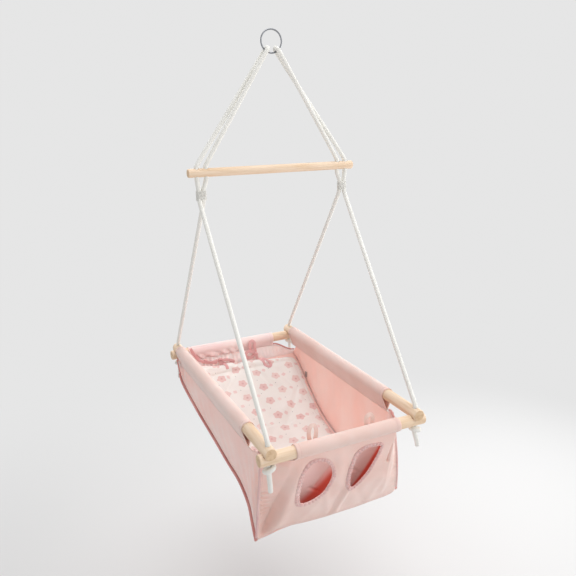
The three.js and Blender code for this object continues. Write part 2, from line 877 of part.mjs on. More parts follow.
function buildRimBinding(side, end, name) {
  const lift = bindingEdgeDiameter / 2 + clothThickness / 2 + seatGap;
  const steps = 6;
  const points = [];
  const sideStart = end < 0 ? rimBindingFootShare : rimBindingHeadShare;
  const sideEnd = end < 0 ? 1 : 0;
  for (let step = 0; step <= steps; step += 1) {
    const edge = rimEdgePoint(THREE.MathUtils.lerp(sideStart, sideEnd, step / steps));
    points.push(at(side * edge.x, edge.y, edge.z + lift));
  }
  const endRim = end < 0 ? frontTopPoint : backTopPoint;
  for (let step = 1; step <= steps; step += 1) {
    const edge = endRim(1 - (rimBindingEndShare * step) / steps);
    points.push(at(side * edge.x, edge.y, edge.z + lift));
  }
  const binding = sweep(points, roundSection(bindingEdgeDiameter / 2, 8));
  addPiece(frameGroup, `${name}_rim_binding`, binding, materials.piping);
}

// Ribbon bows at the head end and ribbon loops at the foot end

function ribbonLoop(length, width, lean) {
  const points = [];
  const steps = 10;
  for (let step = 0; step <= steps; step += 1) {
    const turn = Math.PI * ((2 * step) / steps - 1);
    const reach = (length * (1 + Math.cos(turn))) / 2;
    const spread = (width / 2) * Math.sin(turn) * Math.sqrt(reach / length);
    points.push(at(
      reach * Math.cos(lean) - spread * Math.sin(lean),
      0,
      reach * Math.sin(lean) + spread * Math.cos(lean),
    ));
  }
  return sweep(points.slice(1, -1), flatSection(ribbonThickness, ribbonWidth));
}

// Each tail runs out, forward over the pad and down, in shares of its length
const bowTailShares = [
  [0.06, -0.03, -0.02],
  [0.2, -0.2, -0.1],
  [0.32, -0.5, -0.3],
  [0.36, -0.85, -0.55],
];

// A bow lies flat against a crest of the back panel, with its knot's top under the sleeve's seam

function buildBow(share, name) {
  const pieces = [new THREE.BoxGeometry(bowKnotWidth, bowKnotDepth, bowKnotWidth)];
  for (const side of [-1, 1]) {
    const loop = ribbonLoop(bowLoopLength, bowLoopWidth, 0);
    loop.rotateY(side > 0 ? bowDroop : Math.PI - bowDroop);
    pieces.push(loop);
    const tail = bowTailShares.map(([across, forward, up]) => at(
      side * across * bowTailLength,
      forward * bowTailLength,
      up * bowTailLength,
    ));
    pieces.push(sweep(tail, flatSection(ribbonWidth, ribbonThickness)));
  }
  const bow = joinAll(pieces);
  const top = backPanelSurface(share, 0);
  const crest = backPanelSurface(share, 1 / backPanelRows);
  const rise = top.clone().sub(crest);
  const lean = Math.atan2(rise.y, rise.z);
  const forward = clothThickness / 2 + seatGap + bowKnotDepth / 2;
  const below = bowKnotWidth / 2 + forward * Math.sin(lean);
  const place = top.clone().lerp(crest, below / rise.length());
  bow.rotateX(-lean);
  bow.translate(place.x, place.y - forward * Math.cos(lean), place.z + forward * Math.sin(lean));
  addPiece(frameGroup, name, bow, materials.piping);
}

const footLoopShare = 0.55;

function buildFootLoop(side, sideName) {
  const loop = ribbonLoop(footLoopHeight, footLoopWidth, Math.PI / 2);
  const sleeveOutside = barRadius + seatGap + sleeveWall;
  const loopY = -halfAlong + sleeveOutside + seatGap + ribbonWidth / 2;
  loop.translate(side * footLoopShare * endSleeveHalf, loopY, endBarZ);
  addPiece(frameGroup, `${sideName}_foot_loop`, loop, materials.blush);
}

// Plain woven tab on the inside of the right side panel

const tabAlongShare = 0.215;
const tabDownShare = 0.8;

function buildTab() {
  const point = sidePanelSurface(1)(tabDownShare, tabAlongShare);
  const tab = new THREE.BoxGeometry(tabThickness, tabWidth, tabHeight);
  tab.translate(point.x - clothThickness - tabThickness, point.y, point.z);
  addPiece(frameGroup, 'side_tab', tab, materials.tab);
}

const sides = [[-1, 'left'], [1, 'right']];
const ends = [[-1, 'front'], [1, 'back']];

buildRing();
buildSpreader();
for (const [side, sideName] of sides) {
  buildRopeLoop(side, sideName);
  buildUpperStrands(side, sideName);
  buildBinding(side, sideName);
  buildLowerStrand(side, -1, `front_${sideName}`, outerApexX);
  buildLowerStrand(side, 1, `back_${sideName}`, innerApexX);
  buildSideBar(side, sideName);
  buildSideSleeve(side, sideName);
  buildSidePanel(side, sideName);
  buildFloorPiping(side, sideName);
  buildCornerPiping(side, sideName);
  buildLegTrim(side, sideName);
  buildFootLoop(side, sideName);
  for (const [end, endName] of ends) {
    buildKnot(side, end, `${endName}_${sideName}`);
    buildRimBinding(side, end, `${endName}_${sideName}`);
  }
}
for (const [end, endName] of ends) {
  buildEndBar(end, endName);
  buildEndSleeve(end, endName);
}
buildFrontPanel();
buildBackPanel();
buildFloor();
buildPad();
buildTab();
buildBow(middleBowShare, 'middle_bow');
buildBow(middleBowShare - gathersBetweenBows / backGathers, 'side_bow');

export default cradle;
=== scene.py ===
import math

import bpy
import bmesh
import numpy as np
from mathutils import Matrix, Vector
from mathutils.bvhtree import BVHTree
from mathutils.geometry import delaunay_2d_cdt
from mathutils.kdtree import KDTree


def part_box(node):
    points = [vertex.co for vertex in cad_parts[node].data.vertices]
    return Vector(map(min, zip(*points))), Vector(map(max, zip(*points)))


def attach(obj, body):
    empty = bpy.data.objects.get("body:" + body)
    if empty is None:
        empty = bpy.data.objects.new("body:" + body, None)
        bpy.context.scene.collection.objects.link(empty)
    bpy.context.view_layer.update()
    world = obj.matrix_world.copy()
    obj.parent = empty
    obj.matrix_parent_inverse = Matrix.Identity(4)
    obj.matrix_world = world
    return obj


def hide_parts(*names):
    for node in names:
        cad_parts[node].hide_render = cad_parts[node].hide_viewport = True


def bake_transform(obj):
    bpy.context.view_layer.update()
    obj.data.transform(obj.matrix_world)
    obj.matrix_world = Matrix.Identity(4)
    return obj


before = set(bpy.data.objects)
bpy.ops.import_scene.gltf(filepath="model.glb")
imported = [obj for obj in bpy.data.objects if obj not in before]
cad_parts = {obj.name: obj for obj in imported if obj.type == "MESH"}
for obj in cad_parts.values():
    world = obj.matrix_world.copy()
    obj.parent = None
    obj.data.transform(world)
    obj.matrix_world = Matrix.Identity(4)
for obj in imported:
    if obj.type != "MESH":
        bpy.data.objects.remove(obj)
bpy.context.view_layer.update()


# Camera: a little to the left of the foot end and above the tub, looking slightly down, with the
# whole cradle in view from the ring to the lowest corner of the tub.

mm = 0.001
camera_focal_pixels = 611.4
picture_pixels = 576
camera_place = Vector((-671.2, -1491.6, -219.3)) * mm
camera_pitch, camera_yaw, camera_roll = 0.2667, 0.4407, -0.0206

camera_data = bpy.data.cameras.new("camera")
camera_data.sensor_width = 36
camera_data.lens = camera_focal_pixels * camera_data.sensor_width / picture_pixels
camera = bpy.data.objects.new("camera", camera_data)
bpy.context.scene.collection.objects.link(camera)
forward = Vector((
    math.sin(camera_yaw) * math.cos(camera_pitch),
    math.cos(camera_yaw) * math.cos(camera_pitch),
    -math.sin(camera_pitch),
))
level = Vector((math.cos(camera_yaw), -math.sin(camera_yaw), 0))
level_up = level.cross(forward)
right = level * math.cos(camera_roll) + level_up * math.sin(camera_roll)
above = -level * math.sin(camera_roll) + level_up * math.cos(camera_roll)
camera_turn = Matrix((right, above, -forward)).transposed().to_4x4()
camera.matrix_world = Matrix.Translation(camera_place) @ camera_turn
bpy.context.scene.camera = camera


# Ropes: white braided cotton cord, 12 mm thick. On each side one strand runs down from the ring
# through the outer hole of the spreader bar and one through the inner hole, and both are bound
# together below it before they part to the front and back corners of the timber frame.

tau = 2 * math.pi
rope_radius = 6 * mm
rope_sides = 40
rope_step = 1.6 * mm
braid_strands = 5
braid_pitch = 13 * mm
braid_relief = 0.26 * mm

ring_radius = 28 * mm
ring_wire = 2 * mm
ring_height = -26 * mm
loop_angle = math.radians(35)
loop_radius = ring_wire + rope_radius + 0.2 * mm
loop_x = ring_radius * math.sin(loop_angle)
loop_z = ring_height - ring_radius * math.cos(loop_angle)

spreader_z = -340 * mm
spreader_radius = 11 * mm
outer_hole_x = 213 * mm
inner_hole_x = 189 * mm
strand_bend = 46 * mm
binding_top = -384 * mm
binding_bottom = -410 * mm
apex_x = 204 * mm
strand_offset = 6.15 * mm
rock_axis_z = -416.3 * mm
# How far the eased bends of a cord reach before and after each corner of its route
hole_mouth_ease = 2.5 * mm
part_above, part_below = 8 * mm, 22 * mm
corner_above, corner_below = 12 * mm, 5 * mm

frame_corner = np.array((0, -10, -912)) * mm
hole_half_across = 200 * mm
hole_half_along = 361 * mm
bar_radius = 15 * mm
bar_stack = 18 * mm
frame_bottom = -(2 * bar_radius + bar_stack)


def bend(before, corner, after, reach_before, reach_after, count=8):
    """Points of a corner that is eased from a reach before it to a reach after it."""
    before, corner, after = (np.array(p, float) for p in (before, corner, after))
    start = corner + (before - corner) * reach_before / np.linalg.norm(before - corner)
    end = corner + (after - corner) * reach_after / np.linalg.norm(after - corner)
    shares = np.linspace(0, 1, count + 1)[:, None]
    return (1 - shares) ** 2 * start + 2 * shares * (1 - shares) * corner + shares ** 2 * end


def through(points, step):
    """A smooth curve through the points, cut into even steps."""
    points = np.array(points, float)
    ends = np.vstack([2 * points[0] - points[1], points, 2 * points[-1] - points[-2]])
    fine = []
    for a, b, c, d in zip(ends[:-3], ends[1:-2], ends[2:-1], ends[3:]):
        ab, bc, cd = (max(np.linalg.norm(q - p), 1e-9) ** 0.5 for p, q in ((a, b), (b, c), (c, d)))
        leave = ((b - a) / ab - (c - a) / (ab + bc) + (c - b) / bc) * bc
        arrive = ((c - b) / bc - (d - b) / (bc + cd) + (d - c) / cd) * bc
        t = np.linspace(0, 1, 24, endpoint=False)[:, None]
        fine.append(
            (2 * t**3 - 3 * t**2 + 1) * b + (t**3 - 2 * t**2 + t) * leave
            + (3 * t**2 - 2 * t**3) * c + (t**3 - t**2) * arrive
        )
    fine = np.vstack([*fine, points[-1:]])
    lengths = np.concatenate([[0], np.cumsum(np.linalg.norm(np.diff(fine, axis=0), axis=1))])
    places = np.linspace(0, lengths[-1], max(2, int(round(lengths[-1] / step)) + 1))
    return np.column_stack([np.interp(places, lengths, fine[:, k]) for k in range(3)])


def length_of(path):
    """The length of a path of points."""
    return float(np.linalg.norm(np.diff(path, axis=0), axis=1).sum())


def make_object(name, vertices, faces, uvs=None):
    """A mesh object, with one UV pair for each corner of each face where uvs are given."""
    mesh = bpy.data.meshes.new(name)
    mesh.from_pydata([tuple(v) for v in vertices], [], faces)
    if uvs is not None:
        layer = mesh.uv_layers.new(name="UVMap")
        layer.data.foreach_set("uv", np.array(uvs, np.float32).ravel())
    mesh.shade_smooth()
    made = bpy.data.objects.new(name, mesh)
    bpy.context.scene.collection.objects.link(made)
    return made


def skin(name, grid, round_columns=False, round_rows=False, caps=False, across=None, along=None):
    """A surface over a grid of points. across and along are the UV places of columns and rows."""
    grid = np.array(grid, float)
    rows, columns = grid.shape[:2]
    column_faces = columns if round_columns else columns - 1
    row_faces = rows if round_rows else rows - 1
    if across is None:
        across = np.linspace(0, 1, column_faces + 1)
    if along is None:
        along = np.linspace(0, 1, row_faces + 1)
    faces, uvs = [], []
    for r in range(row_faces):
        for c in range(column_faces):
            next_row, next_column = (r + 1) % rows, (c + 1) % columns
            faces.append((
                r * columns + c, r * columns + next_column,
                next_row * columns + next_column, next_row * columns + c,
            ))
            uvs += [
                (across[c], along[r]), (across[c + 1], along[r]),
                (across[c + 1], along[r + 1]), (across[c], along[r + 1]),
            ]
    if caps:
        faces.append(tuple(reversed(range(columns))))
        faces.append(tuple((rows - 1) * columns + c for c in range(columns)))
        uvs += [(across[c], along[0]) for c in reversed(range(columns))]
        uvs += [(across[c], along[-1]) for c in range(columns)]
    return make_object(name, grid.reshape(-1, 3), faces, uvs)


def face_outwards(piece):
    """Turns all faces of a closed piece to the outside."""
    shell = bmesh.new()
    shell.from_mesh(piece.data)
    bmesh.ops.recalc_face_normals(shell, faces=shell.faces)
    shell.to_mesh(piece.data)
    shell.free()
    return piece


def carried_frames(path):
    """For each point of a path its two side directions, carried along without twist."""
    tangents = np.gradient(path, axis=0)
    tangents /= np.linalg.norm(tangents, axis=1)[:, None]
    side = np.cross(tangents[0], (0.0, 1.0, 0.0))
    if np.linalg.norm(side) < 0.1:
        side = np.cross(tangents[0], (1.0, 0.0, 0.0))
    sides = []
    for tangent in tangents:
        side = side - tangent * (side @ tangent)
        side /= np.linalg.norm(side)
        sides.append(side)
    sides = np.array(sides)
    return sides, np.cross(tangents, sides)


def tube(name, path, radius_at, sides, caps=True):
    """A tube along a path. radius_at gives the radius from the place along and the turn."""
    sides_a, sides_b = carried_frames(path)
    along = np.concatenate([[0], np.cumsum(np.linalg.norm(np.diff(path, axis=0), axis=1))])
    turns = np.linspace(0, tau, sides, endpoint=False)
    radii = radius_at(along[:, None], turns[None, :])
    grid = (
        path[:, None, :]
        + radii[..., None] * np.cos(turns)[None, :, None] * sides_a[:, None, :]
        + radii[..., None] * np.sin(turns)[None, :, None] * sides_b[:, None, :]
    )
    across = np.linspace(0, 1, sides + 1)
    made = skin(name, grid, round_columns=True, caps=caps, across=across, along=along)
    return face_outwards(made)


def braided(total, melted_ends=0.0):
    """The cord's surface: two sets of strands that cross, closed in at a melted end."""
    def radius(along, turns):
        strands = np.cos(2 * braid_strands * turns) - np.cos(2 * tau * along / braid_pitch)
        body = rope_radius - braid_relief + braid_relief * strands / 2
        if melted_ends:
            left = np.clip((total - along) / melted_ends, 0, 1)
            body = body * np.sqrt(np.clip(1 - (1 - left) ** 2, 0.04, 1))
        return body
    return radius


class Value:
    """An output of a material's tree. Arithmetic on it adds the nodes that work it out."""

    def __init__(self, finish, socket):
        self.finish = finish
        self.socket = socket

    def math(self, operation, *others):
        return self.finish.node("ShaderNodeMath", {"operation": operation}, [self, *others])

    def out(self, name):
        return Value(self.finish, self.socket.node.outputs[name])

    def __add__(self, other):
        return self.math("ADD", other)

    __radd__ = __add__

    def __mul__(self, other):
        return self.math("MULTIPLY", other)

    __rmul__ = __mul__

    def __sub__(self, other):
        return self.math("SUBTRACT", other)

    def __rsub__(self, other):
        return self.finish.node("ShaderNodeMath", {"operation": "SUBTRACT"}, [other, self])

    def __truediv__(self, other):
        return self.math("DIVIDE", other)


class Finish:
    """A material: a Principled shader, and the nodes that feed it."""

    def __init__(self, name, roughness=0.8, metallic=0.0, sheen=0.0):
        self.material = bpy.data.materials.new(name)
        self.material.use_nodes = True
        self.tree = self.material.node_tree
        self.shader = self.tree.nodes["Principled BSDF"]
        self.set("Roughness", roughness)
        self.set("Metallic", metallic)
        self.set("Sheen Weight", sheen)

    def set(self, socket_name, value):
        self.feed(self.shader.inputs[socket_name], value)

    def feed(self, socket, value):
        if isinstance(value, Value):
            self.tree.links.new(value.socket, socket)
        elif value is not None:
            socket.default_value = value

    def node(self, kind, settings=None, inputs=None):
        made = self.tree.nodes.new(kind)
        for setting, value in (settings or {}).items():
            if setting == "stops":
                ramp = made.color_ramp
                while len(ramp.elements) < len(value):
                    ramp.elements.new(0.5)
                for element, (place, colour) in zip(ramp.elements, value):
                    element.position = place
                    element.color = colour
            else:
                setattr(made, setting, value)
        pairs = inputs.items() if isinstance(inputs, dict) else enumerate(inputs or [])
        for key, value in pairs:
            self.feed(made.inputs[key], value)
        return Value(self, made.outputs[0])

    def places(self, scale=(1, 1, 1), which="Object"):
        seen = self.node("ShaderNodeTexCoord").out(which)
        return self.node("ShaderNodeMapping", {}, {"Vector": seen, "Scale": scale})

    def noise(self, places, scale, detail=2.0):
        return self.node("ShaderNodeTexNoise", {}, {"Vector": places, "Scale": scale, "Detail": detail})

    def mix(self, share, first, second):
        made = self.tree.nodes.new("ShaderNodeMix")
        made.data_type = "RGBA"
        for key, value in ((0, share), (6, first), (7, second)):
            self.feed(made.inputs[key], value)
        return Value(self, made.outputs[2])

    def between(self, value, low, high, new_low=0.0, new_high=1.0):
        return self.node("ShaderNodeMapRange", {"interpolation_type": "SMOOTHSTEP"}, [
            value, low, high, new_low, new_high,
        ])

    def bump(self, height, depth, strength=1.0):
        self.set("Normal", self.node("ShaderNodeBump", {}, {
            "Height": height, "Distance": depth, "Strength": strength,
        }))

    def on(self, *pieces):
        for piece in pieces:
            piece.data.materials.clear()
            piece.data.materials.append(self.material)


def colour(red, green, blue):
    """A colour given in screen values from 0 to 255, as the linear values that shaders use."""
    shares = (c / 255 for c in (red, green, blue))
    return (*(s / 12.92 if s <= 0.04045 else ((s + 0.055) / 1.055) ** 2.4 for s in shares), 1)


def split(finish, vector):
    """The three parts of a vector, as values of their own."""
    parts = finish.node("ShaderNodeSeparateXYZ", {}, [vector])
    return parts.out("X"), parts.out("Y"), parts.out("Z")


rope_finish = Finish("white_braided_cord", roughness=0.85, sheen=0.3)
rope_uv = rope_finish.places((1, 1, 1), "UV")
rope_u, rope_v, _ = split(rope_finish, rope_uv)
rope_yarn = (rope_u * (tau * 3 * braid_strands) + rope_v * (tau / braid_pitch * 3)).math("SINE")
rope_dirt = rope_finish.noise(rope_finish.places((9, 9, 9)), 3.0, 3.0)
rope_finish.set("Base Color", rope_finish.mix(rope_dirt, colour(250, 249, 245), colour(238, 236, 229)))
rope_finish.bump(rope_yarn, 0.12 * mm, 0.5)


def on_loop(side, turn):
    """A place on the bight that lies over the ring's wire, at a turn from its top."""
    rise = loop_radius * math.cos(turn)
    return np.array((
        side * (loop_x - rise * math.sin(loop_angle)),
        loop_radius * math.sin(turn),
        loop_z + rise * math.cos(loop_angle),
    ))


def strand_down(side, facing, hole_x, offset):
    """A strand from beside the ring's wire down to the bottom of the binding."""
    beside = on_loop(side, facing * math.pi / 2)
    mouth = (side * hole_x, 0, spreader_z + spreader_radius + rope_radius)
    leave = (side * hole_x, 0, spreader_z - spreader_radius - rope_radius)
    apex = side * (apex_x + offset)
    return [
        *bend(beside, mouth, leave, strand_bend, hole_mouth_ease),
        leave,
        (apex, 0, binding_top),
        (apex, 0, (binding_top + binding_bottom) / 2),
    ]


def hang(name, route, bodies, start_z, end_z, *nodes):
    """One cord along its route. The bodies and the two heights are not used."""
    rope = tube(name, route, braided(length_of(route)), rope_sides)
    rope_finish.on(rope)
    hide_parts(*nodes)
    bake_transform(rope)


for side, side_name in ((-1, "left"), (1, "right")):
    inner = strand_down(side, -1, inner_hole_x, -strand_offset)
    outer = strand_down(side, 1, outer_hole_x, strand_offset)
    over_ring = [on_loop(side, turn) for turn in np.linspace(-math.pi / 2, math.pi / 2, 9)]
    route = through([*reversed(inner), *over_ring, *outer], rope_step)
    hang(
        f"{side_name}_upper_rope", route, ("rope_loops", "suspension"), loop_z - 2 * mm, loop_z - 42 * mm,
        f"{side_name}_rope_loop", f"{side_name}_inner_upper_rope", f"{side_name}_outer_upper_rope",
    )

for side, side_name in ((-1, "left"), (1, "right")):
    for end, end_name, offset in ((-1, "front", strand_offset), (1, "back", -strand_offset)):
        apex = side * (apex_x + offset)
        hole = frame_corner + (side * hole_half_across, end * hole_half_along, 0)
        start = (apex, 0, (binding_top + binding_bottom) / 2)
        turning = (apex, 0, binding_bottom + 1 * mm)
        mouth = hole + (0, 0, rope_radius)
        foot = hole + (0, 0, frame_bottom)
        route = through([
            start,
            *bend(start, turning, mouth, part_above, part_below),
            *bend(turning, mouth, foot, corner_above, corner_below),
            foot,
        ], rope_step)
        hang(
            f"{end_name}_{side_name}_lower_cord", route, ("suspension", "cradle"),
            binding_bottom + 4 * mm, rock_axis_z - 24 * mm, f"{end_name}_{side_name}_lower_rope",
        )


# Whipping: thin white thread wound tightly round both strands of a side, so that they part to
# the front and back from one place.

thread_radius = 0.8 * mm
whipping_turns = 13
# How soon the thread crosses from one strand to the other: 1 is gradual
whipping_flatness = 2.2
whipping_height = binding_top - binding_bottom
turn_points = 40


def fit(piece, finish, body, slot, *nodes):
    """Gives a piece its finish, and says which solids it stands for and what carries it."""
    finish.on(piece)
    if nodes:
        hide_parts(*nodes)
    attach(piece, body)


for side, side_name in ((-1, "left"), (1, "right")):
    round_both = []
    for step in range(whipping_turns * turn_points + 1):
        turn = tau * step / turn_points
        reach = rope_radius + thread_radius
        x = reach * math.cos(turn) + strand_offset * max(-1, min(1, whipping_flatness * math.cos(turn)))
        y = reach * math.sin(turn)
        z = binding_bottom + thread_radius + (whipping_height - 2 * thread_radius) * (
            step / (whipping_turns * turn_points)
        )
        round_both.append((side * apex_x + x, y, z))
    thread = tube(
        f"{side_name}_whipping", np.array(round_both),
        lambda along, turns: thread_radius + 0 * along * turns, 8,
    )
    fit(thread, rope_finish, "suspension", "rope", f"{side_name}_rope_binding")


# Ring: one turn of round steel wire, welded shut and polished, dark against the pale room. It
# hangs on a hook, and both ropes pass through it.

ring_grid = []
for turn in np.linspace(0, tau, 120, endpoint=False):
    outwards = np.array((math.sin(turn), 0, math.cos(turn)))
    centre = np.array((0, 0, ring_height)) + ring_radius * outwards
    ring_grid.append([
        centre + ring_wire * (math.cos(a) * outwards + math.sin(a) * np.array((0, 1, 0)))
        for a in np.linspace(0, tau, 20, endpoint=False)
    ])
ring = face_outwards(skin("steel_ring", ring_grid, round_columns=True, round_rows=True))
ring_finish = Finish("dark_polished_steel", roughness=0.28, metallic=1.0)
ring_marks = ring_finish.noise(ring_finish.places((1, 1, 1)), 220.0, 4.0)
ring_finish.set("Base Color", ring_finish.mix(ring_marks, colour(118, 120, 124), colour(146, 148, 152)))
ring_finish.set("Roughness", ring_finish.between(ring_marks, 0.3, 0.7, 0.22, 0.38))
ring_finish.bump(ring_marks, 0.03 * mm, 0.3)
fit(ring, ring_finish, "ring", "ring_steel", "hanging_ring")


# Timber: five round bars of pale, plain sanded wood. The thin spreader is drilled for the four
# strands. The side bars lie in half laps over the end bars, with one rope hole through both.

bar_sides = 64
end_ease = 3 * mm
spreader_length = 472 * mm
side_bar_length = 2 * (hole_half_along + 18 * mm)
end_bar_length = 2 * (hole_half_across + 25 * mm)
rope_hole_radius = rope_radius + 0.5 * mm
lap_clearance = 0.3 * mm
side_bar_z = -bar_radius
end_bar_z = side_bar_z - bar_stack


def timber_finish(name, grain, end_grain):
    """Pale wood with its grain along one axis, or its rings where the end of a bar shows."""
    wood = Finish(name, roughness=0.55)
    stretched = tuple(1.0 if axis == grain else 14.0 for axis in range(3))
    grown = wood.noise(wood.places(stretched), 9.0, 4.0)
    streaks = wood.noise(wood.places(tuple(s * (1 if s == 1.0 else 5) for s in stretched)), 22.0, 3.0)
    light, dark = colour(247, 222, 196), colour(234, 203, 169)
    if end_grain:
        light, dark = colour(231, 201, 166), colour(211, 175, 137)
    base = wood.mix(wood.between(grown, 0.35, 0.7), light, dark)
    pores = wood.between(streaks, 0.56, 0.75, 0.0, 0.3)
    wood.set("Base Color", wood.mix(pores, base, colour(198, 158, 117)))
    wood.set("Roughness", wood.between(streaks, 0.3, 0.7, 0.48, 0.64))
    wood.bump(streaks, 0.12 * mm, 0.35)
    return wood.material


def settle(piece):
    """Applies a piece's modifiers to its mesh."""
    evaluated = piece.evaluated_get(bpy.context.evaluated_depsgraph_get())
    final = bpy.data.meshes.new_from_object(evaluated)
    piece.modifiers.clear()
    old = piece.data
    piece.data = final
    bpy.data.meshes.remove(old)
    return piece


def round_bar(name, length, radius, axis, centre, cutters):
    """A turned bar with eased ends, less its laps and holes."""
    eased = [
        (-length / 2 + end_ease * (1 - math.cos(t)), radius - end_ease + end_ease * math.sin(t))
        for t in np.linspace(0, math.pi / 2, 6)
    ]
    profile = eased + [(-place, reach) for place, reach in reversed(eased)]
    grid = []
    for place, reach in profile:
        ring_points = []
        for turn in np.linspace(0, tau, bar_sides, endpoint=False):
            a, b = reach * math.cos(turn), reach * math.sin(turn)
            ring_points.append(np.array(centre) + ((place, a, b) if axis == 0 else (a, place, b)))
        grid.append(ring_points)
    bar = face_outwards(skin(name, grid, round_columns=True, caps=True))
    for cutter in cutters:
        cut = bar.modifiers.new("cut", "BOOLEAN")
        cut.operation = "DIFFERENCE"
        cut.solver = "EXACT"
        cut.object = cutter
    settle(bar)
    for cutter in cutters:
        bpy.data.objects.remove(cutter)
    return bar


def hole_cutter(x, y, z, depth):
    """An upright drill of a rope hole's width."""
    cutter = []
    for height in (-depth / 2, depth / 2):
        cutter.append([
            (x + rope_hole_radius * math.cos(t), y + rope_hole_radius * math.sin(t), z + height)
            for t in np.linspace(0, tau, 32, endpoint=False)
        ])
    return face_outwards(skin("cutter", cutter, round_columns=True, caps=True))


def lap_cutter(x, y, z, above):
    """A block that takes away a bar's upper or lower half where it crosses another."""
    half = bar_radius + lap_clearance
    low = z + (lap_clearance / 2 if above else -2 * bar_radius)
    high = z + (2 * bar_radius if above else -lap_clearance / 2)
    cutter = [
        [(x - half, y - half, height), (x + half, y - half, height),
         (x + half, y + half, height), (x - half, y + half, height)]
        for height in (low, high)
    ]
    return face_outwards(skin("cutter", cutter, round_columns=True, caps=True))


def finish_bar(bar, node, body, axis):
    """Long grain on the bar and end grain on its ends, with a crisp edge between them."""
    bar.data.materials.clear()
    bar.data.materials.append(timber_finish(f"{node}_timber", axis, False))
    bar.data.materials.append(timber_finish(f"{node}_end_grain", axis, True))
    centre = sum((v.co for v in bar.data.vertices), Vector()) / len(bar.data.vertices)
    for face in bar.data.polygons:
        at_end = abs(face.normal[axis]) > 0.8 and abs(face.center[axis] - centre[axis]) > 0.15
        face.material_index = 1 if at_end else 0
    bar.data.shade_smooth()
    bar.data.set_sharp_from_angle(angle=math.radians(35))
    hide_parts(node)
    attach(bar, body)


holes = [
    hole_cutter(side * x, 0, spreader_z, 4 * spreader_radius)
    for side in (-1, 1) for x in (inner_hole_x, outer_hole_x)
]
spreader = round_bar("spreader_dowel", spreader_length, spreader_radius, 0, (0, 0, spreader_z), holes)
finish_bar(spreader, "spreader_bar", "suspension", 0)

lap_z = (side_bar_z + end_bar_z) / 2


def frame_bar(name, length, axis, centre, crossings):
    """A bar of the frame, with a half lap and a rope hole at each of its two crossings."""
    below_the_lap = axis == 0
    cutters = []
    for crossing in crossings:
        x, y, z = frame_corner + (*crossing, 0)
        cutters.append(lap_cutter(x, y, z + lap_z, below_the_lap))
        cutters.append(hole_cutter(x, y, z + centre[2], 4 * bar_radius))
    bar = round_bar(f"{name}_dowel", length, bar_radius, axis, frame_corner + centre, cutters)
    finish_bar(bar, f"{name}_bar", "cradle", axis)


for side, side_name in ((-1, "left"), (1, "right")):
    x = side * hole_half_across
    crossings = [(x, end * hole_half_along) for end in (-1, 1)]
    frame_bar(f"{side_name}_side", side_bar_length, 1, (x, 0, side_bar_z), crossings)
for end, end_name in ((-1, "front"), (1, "back")):
    y = end * hole_half_along
    crossings = [(side * hole_half_across, y) for side in (-1, 1)]
    frame_bar(f"{end_name}_end", end_bar_length, 0, (0, y, end_bar_z), crossings)


# Stopper knots: under each corner the cord is wrapped once round itself and pulled tight, and
# its free end, cut and melted so that it can't fray, hangs below.

# Each knot's path from the bar's underside: places across, along and up in millimetres
knot_route = [
    (0, 0, 1), (0.5, 2.5, -5), (-6, 2, -11), (-10.5, -3, -13), (-7, -9, -11.5), (1, -11, -8.5),
    (8.5, -8, -6.5), (11, 0, -6), (6, 6.5, -8.5), (0.5, 3, -14), (0.3, -0.5, -20),
]
knot_ends = {
    "front_left": [(1.0, -0.5, -34), (2.4, -0.5, -52), (3.2, 0, -72)],
    "front_right": [(3.0, -0.5, -31), (8.0, -0.5, -46), (11.5, 0, -62)],
    "back_left": [(-0.5, 0.5, -34), (-1.5, 0.5, -50), (-2.5, 0, -68)],
    "back_right": [(0.5, 0.5, -34), (2.0, 0.5, -50), (4.0, 0, -68)],
}
for side, side_name in ((-1, "left"), (1, "right")):
    for end, end_name in ((-1, "front"), (1, "back")):
        name = f"{end_name}_{side_name}"
        corner = frame_corner + (side * hole_half_across, end * hole_half_along, frame_bottom)
        wrap = [(-side * x, y, z) for x, y, z in knot_route]
        places = [corner + np.array(p) * mm for p in [*wrap, *knot_ends[name]]]
        route = through(places, 1.2 * mm)
        knot = tube(f"{name}_knot", route, braided(length_of(route), 3 * mm), rope_sides)
        fit(knot, rope_finish, "cradle", "rope", f"{name}_rope_knot")


# Sleeves: each is a strip of pale pink plain-woven cotton, wrapped over a bar, stitched shut
# under it and hemmed at both ends. The long ones carry the side panels, the short ones the ends.

# In millimetres from the middle of the frame's rope holes, as all of the cloth is
bar_x, bar_y, bar_r = 200, 361, 15
side_bar_mid, end_bar_mid = -15, -33
sleeve_wall = 1.6
sleeve_ease = 0.6
thread_pitch = 0.9 * mm
hem_inset = 11.0
seam_rise = 4.0
side_sleeve_foot, side_sleeve_head = -bar_y + 120, bar_y - 27
side_sleeve_drop = 62 - 15
end_sleeve_drop, end_sleeve_lean = 57.5 - 33, 8
end_sleeve_places = {"front": (284.0, 6.0), "back": (301.0, -20.0)}
end_sleeve_ruffles = {"front": 0.2, "back": 3.4}
stitch_rows = []


